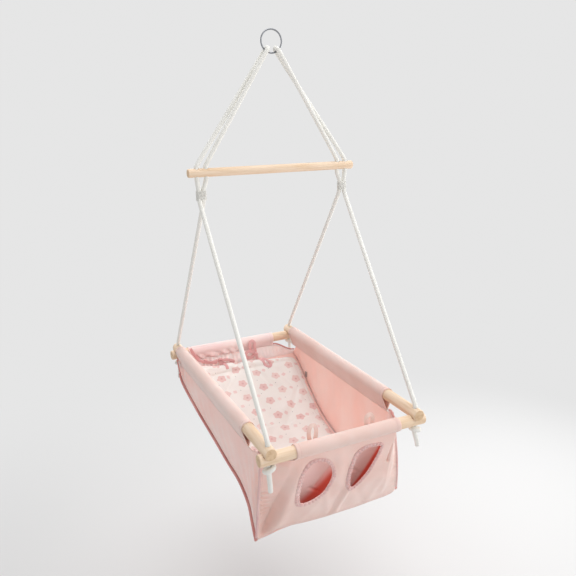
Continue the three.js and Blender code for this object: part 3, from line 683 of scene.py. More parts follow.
def woven(name, light, dark, sheen=0.25, through_it=0.45, light_reach=2.5):
    """Plain weave: threads over and under, slubs along them, and a slow change of tone."""
    cloth = Finish(name, roughness=0.88, sheen=sheen)
    cloth.set("Subsurface Weight", through_it)
    cloth.set("Subsurface Radius", (1.0, 0.75, 0.7))
    cloth.set("Subsurface Scale", light_reach * mm)
    u, v, _ = split(cloth, cloth.places((1, 1, 1), "UV"))
    over = (u * (tau / thread_pitch)).math("SINE") * (v * (tau / thread_pitch)).math("SINE")
    slubs = cloth.noise(cloth.places((90, 1800, 1), "UV"), 1.0, 2.0)
    slow = cloth.noise(cloth.places((1, 1, 1)), 9.0, 3.0)
    base = cloth.mix(cloth.between(slow, 0.3, 0.7), light, dark)
    cloth.base = cloth.mix(cloth.between(slubs, 0.5, 0.8, 0.0, 0.18), base, light)
    cloth.set("Base Color", cloth.base)
    cloth.bump(over * 0.5 + slubs, 0.12 * mm, 0.35)
    return cloth


pale_pink = woven("pale_pink_cotton", colour(246, 217, 209), colour(240, 206, 196))
# A lighter copy of the pale pink cotton, with painted light, for the ruffled back sleeve
sleeve_pink_painted_light = woven("sleeve_cotton_painted_light", colour(255, 227, 223), colour(252, 217, 214), sheen=0.3)
# A lighter copy of the pale pink cotton, with painted light, for the head panel
head_pink_painted_light = woven(
    "head_cotton_painted_light", colour(255, 228, 225), colour(251, 218, 216),
    sheen=0.3, through_it=1.0, light_reach=5.0,
)


def smooth(value, low, high):
    """A soft step from 0 to 1 between two values."""
    share = np.clip((value - low) / (high - low), 0, 1)
    return share * share * (3 - 2 * share)


def waves(u, v, seed, height, shortest=28.0, longest=90.0, count=14):
    """Slow, uneven ripples of hung cloth, in the units of u and v, which are millimetres."""
    draw = np.random.default_rng(seed)
    total = np.zeros_like(u, dtype=float)
    for _ in range(count):
        size = draw.uniform(shortest, longest)
        direction = draw.uniform(0, math.pi)
        phase = draw.uniform(0, tau)
        share = size / longest
        total += share * np.sin(tau * (u * math.cos(direction) + v * math.sin(direction)) / size + phase)
    return height * total / math.sqrt(count)


def thickened(piece, thickness):
    """Gives a sheet its thickness, half to each side."""
    wall = piece.modifiers.new("thickness", "SOLIDIFY")
    wall.thickness = thickness
    wall.offset = 0
    return settle(piece)


def in_frame(points):
    """Millimetres from the middle of the frame's rope holes, as the model's metres."""
    return np.array(points, float) * mm + frame_corner


def grid_lengths(grid):
    """The mean lengths along the columns and the rows of a grid of points, for its UVs."""
    across = np.linalg.norm(np.diff(grid, axis=1), axis=2).mean(0)
    along = np.linalg.norm(np.diff(grid, axis=0), axis=2).mean(1)
    return np.concatenate([[0], np.cumsum(across)]), np.concatenate([[0], np.cumsum(along)])


def sleeve_loop(drop, lean, count=72):
    """The sleeve's cross-section: up from the seam, over the bar and down to the seam."""
    radius = bar_r + sleeve_ease + sleeve_wall / 2
    towards_seam = math.atan2(-drop, lean)
    leave = math.acos(radius / math.hypot(drop, lean))
    turns = np.linspace(towards_seam + leave, towards_seam - leave + tau, count - 2 * (count // 4))
    over = np.array([(radius * math.cos(t), radius * math.sin(t)) for t in turns])
    seam_half = sleeve_wall * 0.55
    shares = np.linspace(0, 1, count // 4 + 1)[:, None]
    down = over[-1] + (np.array((lean - seam_half, -drop)) - over[-1]) * shares[1:]
    up = np.array((lean + seam_half, -drop)) + (over[0] - (lean + seam_half, -drop)) * shares[:-1]
    return np.vstack([up, over, down])


def make_sleeve(name, node, length, drop, lean, place, seed, ruffled=0.0):
    """place turns the loop's points (across, up) and the place along the bar into the frame's."""
    section = sleeve_loop(drop, lean)
    stations = np.linspace(-length / 2, length / 2, int(length / 4) + 1)
    around = np.concatenate([[0], np.cumsum(np.linalg.norm(np.diff(section, axis=0), axis=1))])
    u, v = np.meshgrid(around, stations)
    normals = np.gradient(section, axis=0)
    normals = np.column_stack([normals[:, 1], -normals[:, 0]])
    normals /= np.linalg.norm(normals, axis=1)[:, None]
    below = smooth(-section[:, 1], 2, drop * 0.6)
    puff = waves(u, v, seed, 0.55, 22, 70) * (0.25 + 0.9 * below[None, :])
    tucks = np.abs(np.sin(v / 9.0 + waves(u, v, seed + 5, 1.0, 40, 90)))
    puff += 0.4 * tucks * smooth(-section[:, 1], drop * 0.55, drop * 0.95)[None, :]
    bunches = np.sin(v / 5.6 + u / 6.0 + 1.4 * np.sin(v / 21.0)) + 0.4 * np.sin(v / 3.4 - u / 9.0)
    puff += ruffled * (1 + bunches) * below[None, :] * (1 - smooth(v, -10, 70))
    from_end = length / 2 - np.abs(v)
    hem_roll = 0.45 * np.exp(-((from_end - 4.5) / 4.5) ** 2)
    hem_dent = 0.35 * np.exp(-((from_end - hem_inset) / 1.6) ** 2)
    puff += hem_roll - hem_dent
    open_share = 1 - smooth(-section[:, 1], drop * 0.9, drop)
    points = []
    for row, station in enumerate(stations):
        moved = section + normals * (puff[row] * open_share)[:, None]
        points.append([place(a, b, station) for a, b in moved])
    grid = in_frame(points)
    across, along = grid_lengths(grid)
    cloth = skin(name, grid, across=across, along=along)
    thickened(cloth, sleeve_wall * mm)
    # The ruffled back sleeve takes the lighter pink copy, whose extra brightness is painted light
    cloth_finish = sleeve_pink_painted_light if ruffled > 1 else pale_pink
    fit(cloth, cloth_finish, "cradle", "pale_pink_cloth", node)
    outside = section + normals * (sleeve_wall / 2 + 0.15)
    for station in (hem_inset - length / 2, length / 2 - hem_inset):
        stitch_rows.append([place(a, b, station) for a, b in outside[2:-2]])
    for half in (slice(0, len(section) // 2), slice(len(section) // 2, None)):
        nearest = np.argmin(np.abs(section[half, 1] + drop - seam_rise)) + (half.start or 0)
        a, b = outside[nearest]
        stitch_rows.append([place(a, b, station) for station in stations[2:-2]])


for side, side_name in ((-1, "left"), (1, "right")):
    middle = (side_sleeve_head + side_sleeve_foot) / 2
    make_sleeve(
        f"{side_name}_bar_sleeve", f"{side_name}_side_sleeve",
        side_sleeve_head - side_sleeve_foot, side_sleeve_drop, 0,
        lambda a, b, s, side=side, middle=middle: (side * (bar_x + a), middle + s, side_bar_mid + b),
        seed=11 + side,
    )
for end, end_name in ((-1, "front"), (1, "back")):
    length, centre = end_sleeve_places[end_name]
    make_sleeve(
        f"{end_name}_bar_sleeve", f"{end_name}_end_sleeve", length, end_sleeve_drop, end_sleeve_lean,
        lambda a, b, s, end=end, centre=centre: (centre + s, end * bar_y - end * a, end_bar_mid + b),
        seed=21 + end, ruffled=end_sleeve_ruffles[end_name],
    )


# Side panels: salmon cotton from the sleeve's seam down to the piped edge of the floor, drawn
# smooth by the weight on the floor and gathered a little at the foot corner.

cloth_thickness = 1.6 * mm
tub_head_y, tub_foot_y, rim_foot_y = 341.0, -283.0, -317.0
tub_depth, tub_half_width = 290.0, 203.0
sleeve_tip_z = -62.6
# Where the rim ends on the left and right: height and half width at the head, both at the foot
head_corner_z = {-1: -44.0, 1: -86.0}
head_corner_half = {-1: 210.0, 1: 203.0}
foot_corners = {-1: (197.0, -50.0), 1: (160.0, -24.0)}
# How the foot's corner seams run on the left and right: 1 is straight, and with more the seam is
# drawn in mostly near its top
corner_draw = {-1: 1.0, 1: 1.6}
end_inset, side_bulge, side_ripple, corner_pucker = 2.8, 6, 0.8, 3.0
# From head to foot: place along, floor depth, floor half width and place of the rim, as shares
tub_edge_shares = np.array([
    (0.0, 0.324, 1.0, 0.0), (0.07, 0.4, 1.005, 0.04), (0.234, 0.569, 0.946, 0.21),
    (0.405, 0.717, 0.882, 0.39), (0.561, 0.806, 0.857, 0.56), (0.701, 0.858, 0.846, 0.715),
    (0.826, 0.92, 0.878, 0.84), (0.919, 0.972, 0.942, 0.945), (1.0, 1.0, 1.0, 1.0),
])
# The tub's lower front edge as places across and up, from left to right
foot_edge_places = np.array([
    (-203, -296), (-190, -292), (-171, -287), (-150, -281), (-110, -281), (-72, -284), (-18, -286),
    (30, -286), (79, -287), (118, -286), (169, -287), (190, -285), (200, -280), (203, -276),
], float)

salmon = woven(
    "salmon_cotton", colour(253, 208, 202), colour(250, 199, 192),
    sheen=0.3, through_it=1.0, light_reach=6.0,
)


def table_curve(values):
    """A smooth curve through evenly numbered points, read at shares from 0 to 1."""
    values = np.array(values, float).reshape(len(values), -1)
    ends = np.vstack([2 * values[0] - values[1], values, 2 * values[-1] - values[-2]])

    def read(share):
        place = np.clip(np.asarray(share, float), 0, 1) * (len(values) - 1)
        index = np.minimum(place.astype(int), len(values) - 2)
        t = (place - index)[..., None]
        a, b, c, d = (ends[index + k] for k in range(4))
        return (
            b + 0.5 * t * (c - a) + t * t * (a - 2.5 * b + 2 * c - 0.5 * d)
            + t**3 * (1.5 * (b - c) + 0.5 * (d - a))
        )
    return read


read_edge = table_curve(tub_edge_shares)


def foot_edge_z(x):
    """The height of the tub's lower front edge."""
    return np.interp(x, foot_edge_places[:, 0], foot_edge_places[:, 1])


def floor_edge(side, along):
    """Half width, place along and height of the floor's long edge on one side."""
    shares = read_edge(along)
    at_foot = smooth(along, 0.8, 1.0) * (foot_edge_z(side * tub_half_width) + tub_depth)
    return (
        shares[..., 2] * tub_half_width,
        tub_head_y + shares[..., 0] * (tub_foot_y - tub_head_y),
        -shares[..., 1] * tub_depth + at_foot,
    )


def rim_edge(side, along):
    """Half width, place along and height of the rim, under the side sleeve and at the corners."""
    corner_half, corner_z = foot_corners[side]
    y = tub_head_y + read_edge(along)[..., 3] * (rim_foot_y - tub_head_y)
    dip = smooth(y, side_sleeve_head - 27, tub_head_y)
    rise = 1 - smooth(y, rim_foot_y, side_sleeve_foot - 2.5)
    return (
        bar_x + dip * (head_corner_half[side] - bar_x) - rise * (bar_x - corner_half),
        y,
        sleeve_tip_z + dip * (head_corner_z[side] - sleeve_tip_z) + rise * (corner_z - sleeve_tip_z),
    )


def side_panel_points(side, down, along):
    """The side panel's surface, from shares down from the rim and along from head to foot."""
    near_foot = smooth(along, 0.72, 1.0)
    drawn = 1 - (1 - down) ** (1 + (corner_draw[side] - 1) * near_foot)
    top, bottom = rim_edge(side, along), floor_edge(side, along)
    x = top[0] + (bottom[0] - top[0]) * drawn
    y, z = (a + (b - a) * down for a, b in zip(top[1:], bottom[1:]))
    inset = end_inset * (1 - 2 * along) * np.abs(1 - 2 * along)
    x = x + side_bulge * np.sin(math.pi * down) * np.sin(math.pi * along)
    x = x + side_ripple * np.sin(math.pi * down) * np.sin(tau * 2.2 * (y + 40 * down) / 120)
    ends = smooth(along, 0.74, 0.93) * (1 - smooth(along, 0.97, 1.0))
    x = x + corner_pucker * ends * np.sin(math.pi * down) * np.sin(tau * y / 31 + 1.5 * down)
    return np.stack([side * x, y - inset, z], axis=-1)


for side, side_name in ((-1, "left"), (1, "right")):
    down, along = np.meshgrid(np.linspace(0, 1, 40), np.linspace(0, 1, 180))
    points = side_panel_points(side, down, along)
    ripples = waves(points[..., 1], points[..., 2], 31 + side, 0.9, 30, 110)
    points[..., 0] += side * ripples * np.sin(math.pi * down) * np.sin(math.pi * along)
    grid = in_frame(points)
    across, length_along = grid_lengths(grid)
    panel = skin(f"{side_name}_tub_side", grid, across=across, along=length_along)
    thickened(panel, cloth_thickness)
    fit(panel, salmon, "cradle", "salmon_cloth", f"{side_name}_side_panel")
    shares = np.linspace(0.02, 0.98, 160)
    for face in (-1.0, 1.0):
        rim_row = side_panel_points(side, np.full_like(shares, 0.965), shares)
        rim_row[:, 0] += face * 1.05
        stitch_rows.append(rim_row)


# Floor: salmon cotton from head to foot, sewn to both side panels in the piped seams. It hangs
# in a shallow trough between them.

foot_lift, floor_sag = 8, 9


def floor_points(across, along):
    """The floor's surface, from -1 to 1 across and from head to foot along."""
    left, right = floor_edge(-1, along), floor_edge(1, along)
    half, y = right[0], right[1]
    z = np.where(across < 0, left[2], right[2])
    spread = 1 - across ** 2
    lift = foot_lift * spread * along ** 6
    level = z - 2.5 - floor_sag * spread * np.sin(math.pi * along) + lift
    level = level + smooth(along, 0.8, 1.0) * (foot_edge_z(across * half) + 2.0 - level) * spread
    return np.stack([across * half, y - end_inset * (1 - 2 * along) - lift, level], axis=-1)


across_shares, along_shares = np.meshgrid(np.linspace(-1, 1, 80), np.linspace(0, 1, 140))
points = floor_points(across_shares, along_shares)
ripples = waves(points[..., 0], points[..., 1], 41, 0.7, 40, 120)
points[..., 2] += ripples * (1 - across_shares ** 2) * np.sin(math.pi * along_shares)
grid = in_frame(points)
across, along = grid_lengths(grid)
floor_cloth = skin("floor_cloth", grid, across=across, along=along)
thickened(floor_cloth, cloth_thickness)
fit(floor_cloth, salmon, "cradle", "salmon_cloth", "tub_floor")


# Foot panel: pale pink cotton from the foot sleeve to the front edge of the floor, drawn back to
# the corner seams in soft folds, with two leg openings that are hemmed over elastic.

foot_sleeve_y = -353.0
foot_top_z = -58.1
foot_sleeve_ends = (-136.0, 148.0)
foot_folds = [
    # start and end as places across and up in millimetres, then width and rise
    ((-112, -78), (-150, -262), 16, 4),
    ((26, -195), (2, -288), 8, 6.5),
    ((8, -200), (-12, -284), 7, -3),
    ((-35, -200), (-20, -255), 10, 3),
    ((-52, -215), (-96, -272), 12, 3),
    ((151, -98), (143, -147), 4.5, -12),
    ((133, -205), (104, -268), 13, 3.5),
    ((172, -150), (150, -250), 12, 3),
    ((60, -215), (92, -275), 12, -2.5),
    ((-10, -75), (-8, -170), 14, 3),
]
# The deep fold at the lower left: its crest and its valley as places across, at these heights
deep_fold_z = (-72, -100, -120, -166, -220, -263, -290)
deep_fold_crest = (-118, -119, -127, -136, -147, -158, -170)
deep_fold_valley = (-137, -138, -141, -148, -160, -175, -194)
deep_fold_depth = (0, 6, 12, 24, 30, 26, 4)
crest_width = 4
foot_bulge = 12
leg_openings = {
    "left": [(-89, -85), (-70, -80), (-48, -86), (-32, -102), (-24, -128), (-28, -160), (-40, -183),
             (-63, -202), (-90, -210), (-105, -203), (-111, -152), (-105, -108)],
    "right": [(42, -93), (63, -82), (88, -81), (112, -88), (107, -112), (96, -137), (81, -163),
              (61, -188), (43, -200), (30, -191), (26, -158), (31, -124)],
}


def seam_half(side, down):
    """How far from the middle a corner seam of the foot panel lies, at a share of its length."""
    return tub_half_width - (tub_half_width - foot_corners[side][0]) * (1 - down) ** corner_draw[side]


def seam_z(side, down):
    """The height of a corner seam at a share of its length."""
    top = foot_corners[side][1]
    return top + (foot_edge_z(side * tub_half_width) - top) * down


def foot_top(x):
    """The height of the foot panel's upper edge."""
    left_half, left_z = foot_corners[-1]
    right_half, right_z = foot_corners[1]
    from_left = 1 - smooth(x, -left_half, foot_sleeve_ends[0] - 2.5)
    from_right = smooth(x, foot_sleeve_ends[1], right_half)
    return foot_top_z + (left_z - foot_top_z) * from_left + (right_z - foot_top_z) * from_right


def ridge(u, v, start, end, width, rise):
    """A fold: a rounded ridge along the line from start to end."""
    run = np.array(end, float) - np.array(start, float)
    share = np.clip(((u - start[0]) * run[0] + (v - start[1]) * run[1]) / (run @ run), 0, 1)
    off = np.hypot(u - start[0] - share * run[0], v - start[1] - share * run[1])
    return rise * np.exp(-((off / width) ** 2))


def deep_fold(x, z, left_seam):
    """How far the deep fold at the lower left draws the cloth in."""
    crest, valley, depth = (
        np.interp(-z, -np.array(deep_fold_z, float), line)
        for line in (deep_fold_crest, deep_fold_valley, deep_fold_depth)
    )
    from_crest = crest + crest_width - x
    falling = np.clip(from_crest / np.maximum(crest + crest_width - valley, 4), 0, 1) ** 1.7
    rising = np.clip((x - left_seam) / np.maximum(valley - left_seam, 4), 0, 1) ** 0.8
    return depth * np.where(x > valley, falling, rising)


def seam_puckers(x, z, from_left, from_right):
    """Gathers beside the right seam, and beside the left one at its middle."""
    left_middle = smooth(-z, 140, 165) * (1 - smooth(-z, 215, 245))
    tucked = np.exp(-((from_right / 17) ** 2)) + 2.8 * np.exp(-((from_left / 26) ** 2)) * left_middle
    return 1.5 * tucked * np.sin(tau * z / 13.0 + 0.1 * x)


def foot_surface(x, z):
    """The foot panel's place along, for places across and up."""
    seam = {}
    for side in (-1, 1):
        top = foot_corners[side][1]
        share = np.clip((z - top) / (foot_edge_z(side * tub_half_width) - top), 0, 1)
        seam[side] = side * seam_half(side, share)
    top = foot_top(x)
    down = np.clip((z - top) / (foot_edge_z(x) - top), 0, 1)
    from_left, from_right = np.maximum(x - seam[-1], 0), np.maximum(seam[1] - x, 0)
    left_gap = foot_corners[-1][0] + foot_sleeve_ends[0] - 2.5
    right_gap = foot_corners[1][0] - foot_sleeve_ends[1] + 48 * down
    under = smooth(from_left, 0, left_gap) * smooth(from_right, 0, right_gap)
    spread = 1 - np.clip((2 * x - seam[1] - seam[-1]) / (seam[1] - seam[-1]), -1, 1) ** 2
    top_y = rim_foot_y + (foot_sleeve_y - rim_foot_y) * under
    y = top_y * (1 - down) + (tub_foot_y - foot_lift * spread) * down
    y = y - foot_bulge * np.sin(math.pi * down) * spread
    free = smooth(down, 0.0, 0.12) * (1 - smooth(down, 0.93, 1.0))
    off_seams = smooth(np.minimum(from_left, from_right), 0, 5)
    y = y + deep_fold(x, z, seam[-1]) * free
    for start, end, width, rise in foot_folds:
        y = y - ridge(x, z, start, end, width, rise) * free * off_seams
    y = y - seam_puckers(x, z, from_left, from_right) * free * off_seams
    return y - waves(x, z, 51, 1.0, 26, 80) * free * off_seams


def outline_of(side_name, count):
    """A leg opening's edge, as evenly spread places across and up."""
    points = np.array([(*p, 0) for p in leg_openings[side_name]], float)
    loop = through(np.vstack([points[-2:], points, points[:3]]), 1.0)
    half = len(loop) // 2
    first = np.argmin(np.linalg.norm(loop[:half] - points[0], axis=1))
    last = half + np.argmin(np.linalg.norm(loop[half:] - points[0], axis=1))
    places = np.linspace(first, last, count, endpoint=False).astype(int)
    return loop[places][:, :2]


def inside(outline, x, z):
    """Which places lie inside a closed outline."""
    found = np.zeros_like(x, dtype=bool)
    for (x0, z0), (x1, z1) in zip(outline, np.roll(outline, -1, axis=0)):
        crosses = ((z0 > z) != (z1 > z)) & (x < (x1 - x0) * (z - z0) / (z1 - z0 + 1e-12) + x0)
        found ^= crosses
    return found


right_top = foot_corners[1][0]
boundary = [(x, foot_top(x)) for x in np.linspace(-foot_corners[-1][0], foot_sleeve_ends[1], 100)]
boundary += [(x, foot_top(x)) for x in np.linspace(foot_sleeve_ends[1], right_top, 16)[1:]]
boundary += [(seam_half(1, share), seam_z(1, share)) for share in np.linspace(0, 1, 80)[1:-1]]
boundary += [(x, foot_edge_z(x)) for x in np.linspace(tub_half_width, -tub_half_width, 120)]
boundary += [(-seam_half(-1, share), seam_z(-1, share)) for share in np.linspace(1, 0, 80)[1:-1]]
boundary = np.array([(float(x), float(z)) for x, z in boundary])
outlines = {name: outline_of(name, 96) for name in leg_openings}
flat_points, edges, start = [], [], 0
for loop in (boundary, *outlines.values()):
    flat_points += [tuple(p) for p in loop]
    edges += [(start + k, start + (k + 1) % len(loop)) for k in range(len(loop))]
    start += len(loop)
mesh_step, mesh_gap = 2.8, 1.8
gx, gz = np.meshgrid(np.arange(-201, 202, mesh_step), np.arange(-295, -24, mesh_step))
keep = inside(boundary, gx, gz)
for outline in outlines.values():
    keep &= ~inside(outline, gx, gz)
for loop in (boundary, *outlines.values()):
    for x, z in loop:
        keep &= np.hypot(gx - x, gz - z) > mesh_gap
flat_points += [(float(x), float(z)) for x, z in zip(gx[keep], gz[keep])]
flat, _, triangles, *_ = delaunay_2d_cdt([Vector(p) for p in flat_points], edges, [], 0, 1e-5)
flat = np.array([tuple(p) for p in flat])
centres = np.array([flat[list(t)].mean(0) for t in triangles])
wanted = inside(boundary, centres[:, 0], centres[:, 1])
for outline in outlines.values():
    wanted &= ~inside(outline, centres[:, 0], centres[:, 1])
triangles = [tuple(t) for t, kept in zip(triangles, wanted) if kept]
panel_points = in_frame(np.column_stack([flat[:, 0], foot_surface(flat[:, 0], flat[:, 1]), flat[:, 1]]))
uvs = [tuple(flat[k] * mm) for t in triangles for k in t]
foot_panel = make_object("foot_cloth", panel_points, triangles, uvs)
thickened(foot_panel, cloth_thickness)
fit(foot_panel, pale_pink, "cradle", "pale_pink_cloth", "front_panel")
for lift in (4.0, 9.0):
    row = [(x, foot_edge_z(x) + lift) for x in np.linspace(-192, 192, 160)]
    stitch_rows.append([(x, float(foot_surface(x, z)) - 1.0, z) for x, z in row])
for side in (-1, 1):
    row = [(side * (seam_half(side, s) - 4.5), seam_z(side, s)) for s in np.linspace(0.05, 0.95, 90)]
    stitch_rows.append([(x, float(foot_surface(np.array(x), np.array(z))) - 1.0, z) for x, z in row])


# Leg hems: the edge of each opening is turned over a band of elastic and stitched down in two
# rows, so that it stands in small gathers all the way round.

hem_gathers = 38
hem_inside = 2.5
hem_rows = (0.3, 0.82)
hem_width, hem_wider_outside = 7.0, 2.2
hem_edge_height, hem_flat_height, hem_gather_height = 0.9, 1.1, 3.3
# A darker copy of the pale pink cotton: painted shade in the hem's gathers
hem_painted_shade_finish = woven("hem_cotton_painted_shade", colour(240, 205, 200), colour(226, 184, 180))

for side_name in leg_openings:
    edge_places = outline_of(side_name, 300)
    steps = np.roll(edge_places, -1, axis=0) - np.roll(edge_places, 1, axis=0)
    steps /= np.linalg.norm(steps, axis=1)[:, None]
    away = np.column_stack([steps[:, 1], -steps[:, 0]])
    away *= np.sign((away * (edge_places - edge_places.mean(0))).sum(1).mean())
    wide = hem_width - hem_wider_outside * away[:, 0]
    turn = np.linspace(0, tau, len(edge_places), endpoint=False)
    draw = np.random.default_rng(61 + len(side_name))
    phases = draw.uniform(0, tau, 3)
    gather = np.abs(np.sin(hem_gathers / 2 * turn + phases[0] + 0.5 * np.sin(5 * turn + phases[1])))
    uneven = 0.75 + 0.25 * np.sin(7 * turn + phases[2])
    rows, stitch_inner, stitch_outer = [], [], []
    for k in range(len(edge_places)):
        ring_points = []
        for a in np.linspace(0, tau, 22, endpoint=False):
            share = 0.5 - 0.5 * math.cos(a)
            puffed = math.sin(a) ** 0.8 if a < math.pi else 0.0
            dents = 1 - 0.45 * sum(math.exp(-((share - row) / 0.07) ** 2) for row in hem_rows)
            puff = (hem_flat_height + hem_gather_height * gather[k] * uneven[k]) * puffed * dents
            height = hem_edge_height + puff if a < math.pi else -2.0
            span = wide[k] + hem_inside + 0.9 * gather[k]
            reach = -hem_inside - 0.8 * gather[k] * (1 - share) + span * share
            x, z = edge_places[k] + away[k] * reach
            ring_points.append((x, float(foot_surface(x, z)) - height, z))
        rows.append(ring_points)
        for share, row in zip(hem_rows, (stitch_inner, stitch_outer)):
            x, z = edge_places[k] + away[k] * (-hem_inside + (wide[k] + hem_inside) * share)
            row.append((x, float(foot_surface(x, z)) - 1.6 - 1.3 * gather[k] * uneven[k], z))
    stitch_rows += [stitch_inner + stitch_inner[:1], stitch_outer + stitch_outer[:1]]
    hem = face_outwards(skin(
        f"{side_name}_gathered_hem", in_frame(rows), round_columns=True, round_rows=True,
        across=np.linspace(0, 0.03, 23), along=np.linspace(0, 0.4, len(rows) + 1),
    ))
    fit(hem, hem_painted_shade_finish, "cradle", "pale_pink_cloth", f"{side_name}_leg_trim")


# Head panel: a low strip of pale pink cotton that closes the head end. It is gathered where it
# is sewn under the head sleeve, and runs down to the head edge of the floor.

head_gathers = 8.5
middle_bow_share = 0.648
head_sleeve_y = 353.0
head_sleeve_ends = (-171.0, 130.0)
head_floor_z = -97.0


def head_points(across, down):
    """The head panel's surface, from -1 to 1 across and from its upper edge down."""
    x = across * tub_half_width
    x = x - (head_corner_half[-1] - tub_half_width) * (1 - down) * smooth(-across, 0.8, 1.0)
    from_left = 1 - smooth(x, -tub_half_width, head_sleeve_ends[0] - 2.5)
    from_right = smooth(x, head_sleeve_ends[1] + 2.5, tub_half_width)
    off = np.maximum(from_left, from_right)
    top_y = head_sleeve_y + (tub_head_y - head_sleeve_y) * off
    left_rise, right_rise = head_corner_z[-1] - foot_top_z, head_corner_z[1] - foot_top_z
    top_z = foot_top_z + left_rise * from_left + right_rise * from_right
    low_y, low_z = tub_head_y - 3.0, head_floor_z
    gather = np.cos(tau * head_gathers * ((across + 1) / 2 - middle_bow_share) + 2.0 * down)
    bunched = 1 + 1.3 * (1 - smooth(across, -0.2, 0.3))
    depth = bunched * (2.0 + 1.8 * gather + 0.8 * np.cos(across * 95 + 1.0)) * np.sin(
        math.pi * np.clip(down, 0, 1) ** 0.8
    )
    return np.stack([
        x,
        top_y + (low_y - top_y) * down - depth * (1 - across ** 4),
        top_z + (low_z - top_z) * down,
    ], axis=-1)


across_shares, down_shares = np.meshgrid(np.linspace(-1, 1, 280), np.linspace(0, 1, 20))
grid = in_frame(head_points(across_shares, down_shares))
across, along = grid_lengths(grid)
head_panel = skin("head_cloth", grid, across=across, along=along)
thickened(head_panel, cloth_thickness)
# The head panel's lighter pink is painted light on the pale pink cotton
fit(head_panel, head_pink_painted_light, "cradle", "pale_pink_cloth", "back_panel")


# Piping and rim tapes: rose tape sewn round a thin cord along the floor's edges and down the foot
# corners, and tape folded over the curved rims at the four corners.

rose = woven("rose_tape", colour(232, 172, 165), colour(216, 146, 140), 0.25, 0.2)
pale_rose = woven("pale_rose_tape", colour(240, 206, 202), colour(226, 184, 182), 0.25, 0.2)
floor_piping_radius, corner_piping_radius, tape_radius = 3.7, 3.0, 2.5
# How far the tape stands above the cut rim
tape_rise = 4.0


def piping(name, points, radius, finish, *nodes):
    """A cord in sewn tape along a path, with small puckers and the tape's seam."""
    route = through(in_frame(points), 2.5 * mm)
    phase = np.random.default_rng(len(name)).uniform(0, tau)

    def radius_at(along, turns):
        puckers = 0.06 * np.sin(along * 900 + phase) + 0.03 * np.sin(along * 2100)
        seam = 0.25 * np.exp(-((np.minimum(turns, tau - turns) / 0.35) ** 2))
        return radius * mm * (1 + puckers + seam)

    fit(tube(name, route, radius_at, 16), finish, "cradle", "rose_trim", *nodes)


for side, side_name in ((-1, "left"), (1, "right")):
    half, y, z = floor_edge(side, np.linspace(0, 1, 60))
    floor_cord = np.column_stack([side * (half + 4.1), y, z - 0.6])
    piping(
        f"{side_name}_floor_edge_piping", floor_cord, floor_piping_radius, rose,
        f"{side_name}_floor_piping",
    )
    down = np.linspace(0, 0.97, 30)
    corner_cord = np.column_stack([
        side * (seam_half(side, down) + 3.0),
        rim_foot_y + (tub_foot_y - rim_foot_y) * down,
        seam_z(side, down),
    ])
    piping(
        f"{side_name}_corner_seam_piping", corner_cord, corner_piping_radius, pale_rose,
        f"{side_name}_corner_piping",
    )

    half, y, z = rim_edge(side, np.linspace(0.93, 1.0, 16))
    foot_rim = [(side * a, b, c + tape_rise) for a, b, c in zip(half, y, z)]
    sleeve_end = foot_sleeve_ends[0 if side < 0 else 1]
    for x in np.linspace(side * foot_corners[side][0], sleeve_end + side * 2.0, 14)[1:]:
        z = float(foot_top(x))
        foot_rim.append((x, float(foot_surface(np.array(x), np.array(z))), z + tape_rise))
    piping(f"front_{side_name}_rim_tape", foot_rim, tape_radius, rose, f"front_{side_name}_rim_binding")

    half, y, z = rim_edge(side, np.linspace(0.055, 0.0, 16))
    head_rim = [(side * a, b, c + tape_rise) for a, b, c in zip(half, y, z)]
    sleeve_end = head_sleeve_ends[0 if side < 0 else 1]
    for x in np.linspace(side * tub_half_width, sleeve_end + side * 3.0, 14)[1:]:
        head_rim.append(head_points(np.array(x / tub_half_width), np.array(0.0)) + (0, 0, tape_rise))
    piping(f"back_{side_name}_rim_tape", head_rim, tape_radius, rose, f"back_{side_name}_rim_binding")

head_seam = head_points(np.full(12, -1.0), np.linspace(0.0, 0.97, 12)) + (-2.2, 1.5, 0)
piping("back_left_seam_tape", head_seam, 2.4, rose)


# Pad: thin wadding in a cotton cover, blossom print on top and plain pink below. It is laid on
# the floor and tied in at the head, and its thin foot end stands up behind the leg openings.

# As shares of the floor: the pad's width, and the places of its head, its foot and the corner of
# the floor in front of it, where its foot end turns up
pad_share, pad_head_share, pad_foot_share, pad_corner_share = 0.965, 0.03, 0.86, 0.995
# The share of the pad that stands up, and the top of that end: half width, place along, height
pad_stand, pad_end = 0.22, (165.0, -292.0, -115.0)
# In millimetres: the room below the pad, its thickness at the edge, what the middle has more, and
# the depth of the crease across it
pad_under, pad_edge, pad_crown, pad_crease = 2.35, 7.0, 10.0, 3.0
pad_crease_share = 0.66
pad_corner_round, pad_length = 46.0, 560
# The ties lift the head edge off the floor: by this much at these places across
pad_lift_x, pad_lift = (-200, -136, -85, -22, 21, 86, 136, 200), (27, 27, 19, 13, 18, 9, 0, 0)
voxel = 5.2 * mm
swell_limit, settle_limit = 5.0 * mm, 0.9 * mm


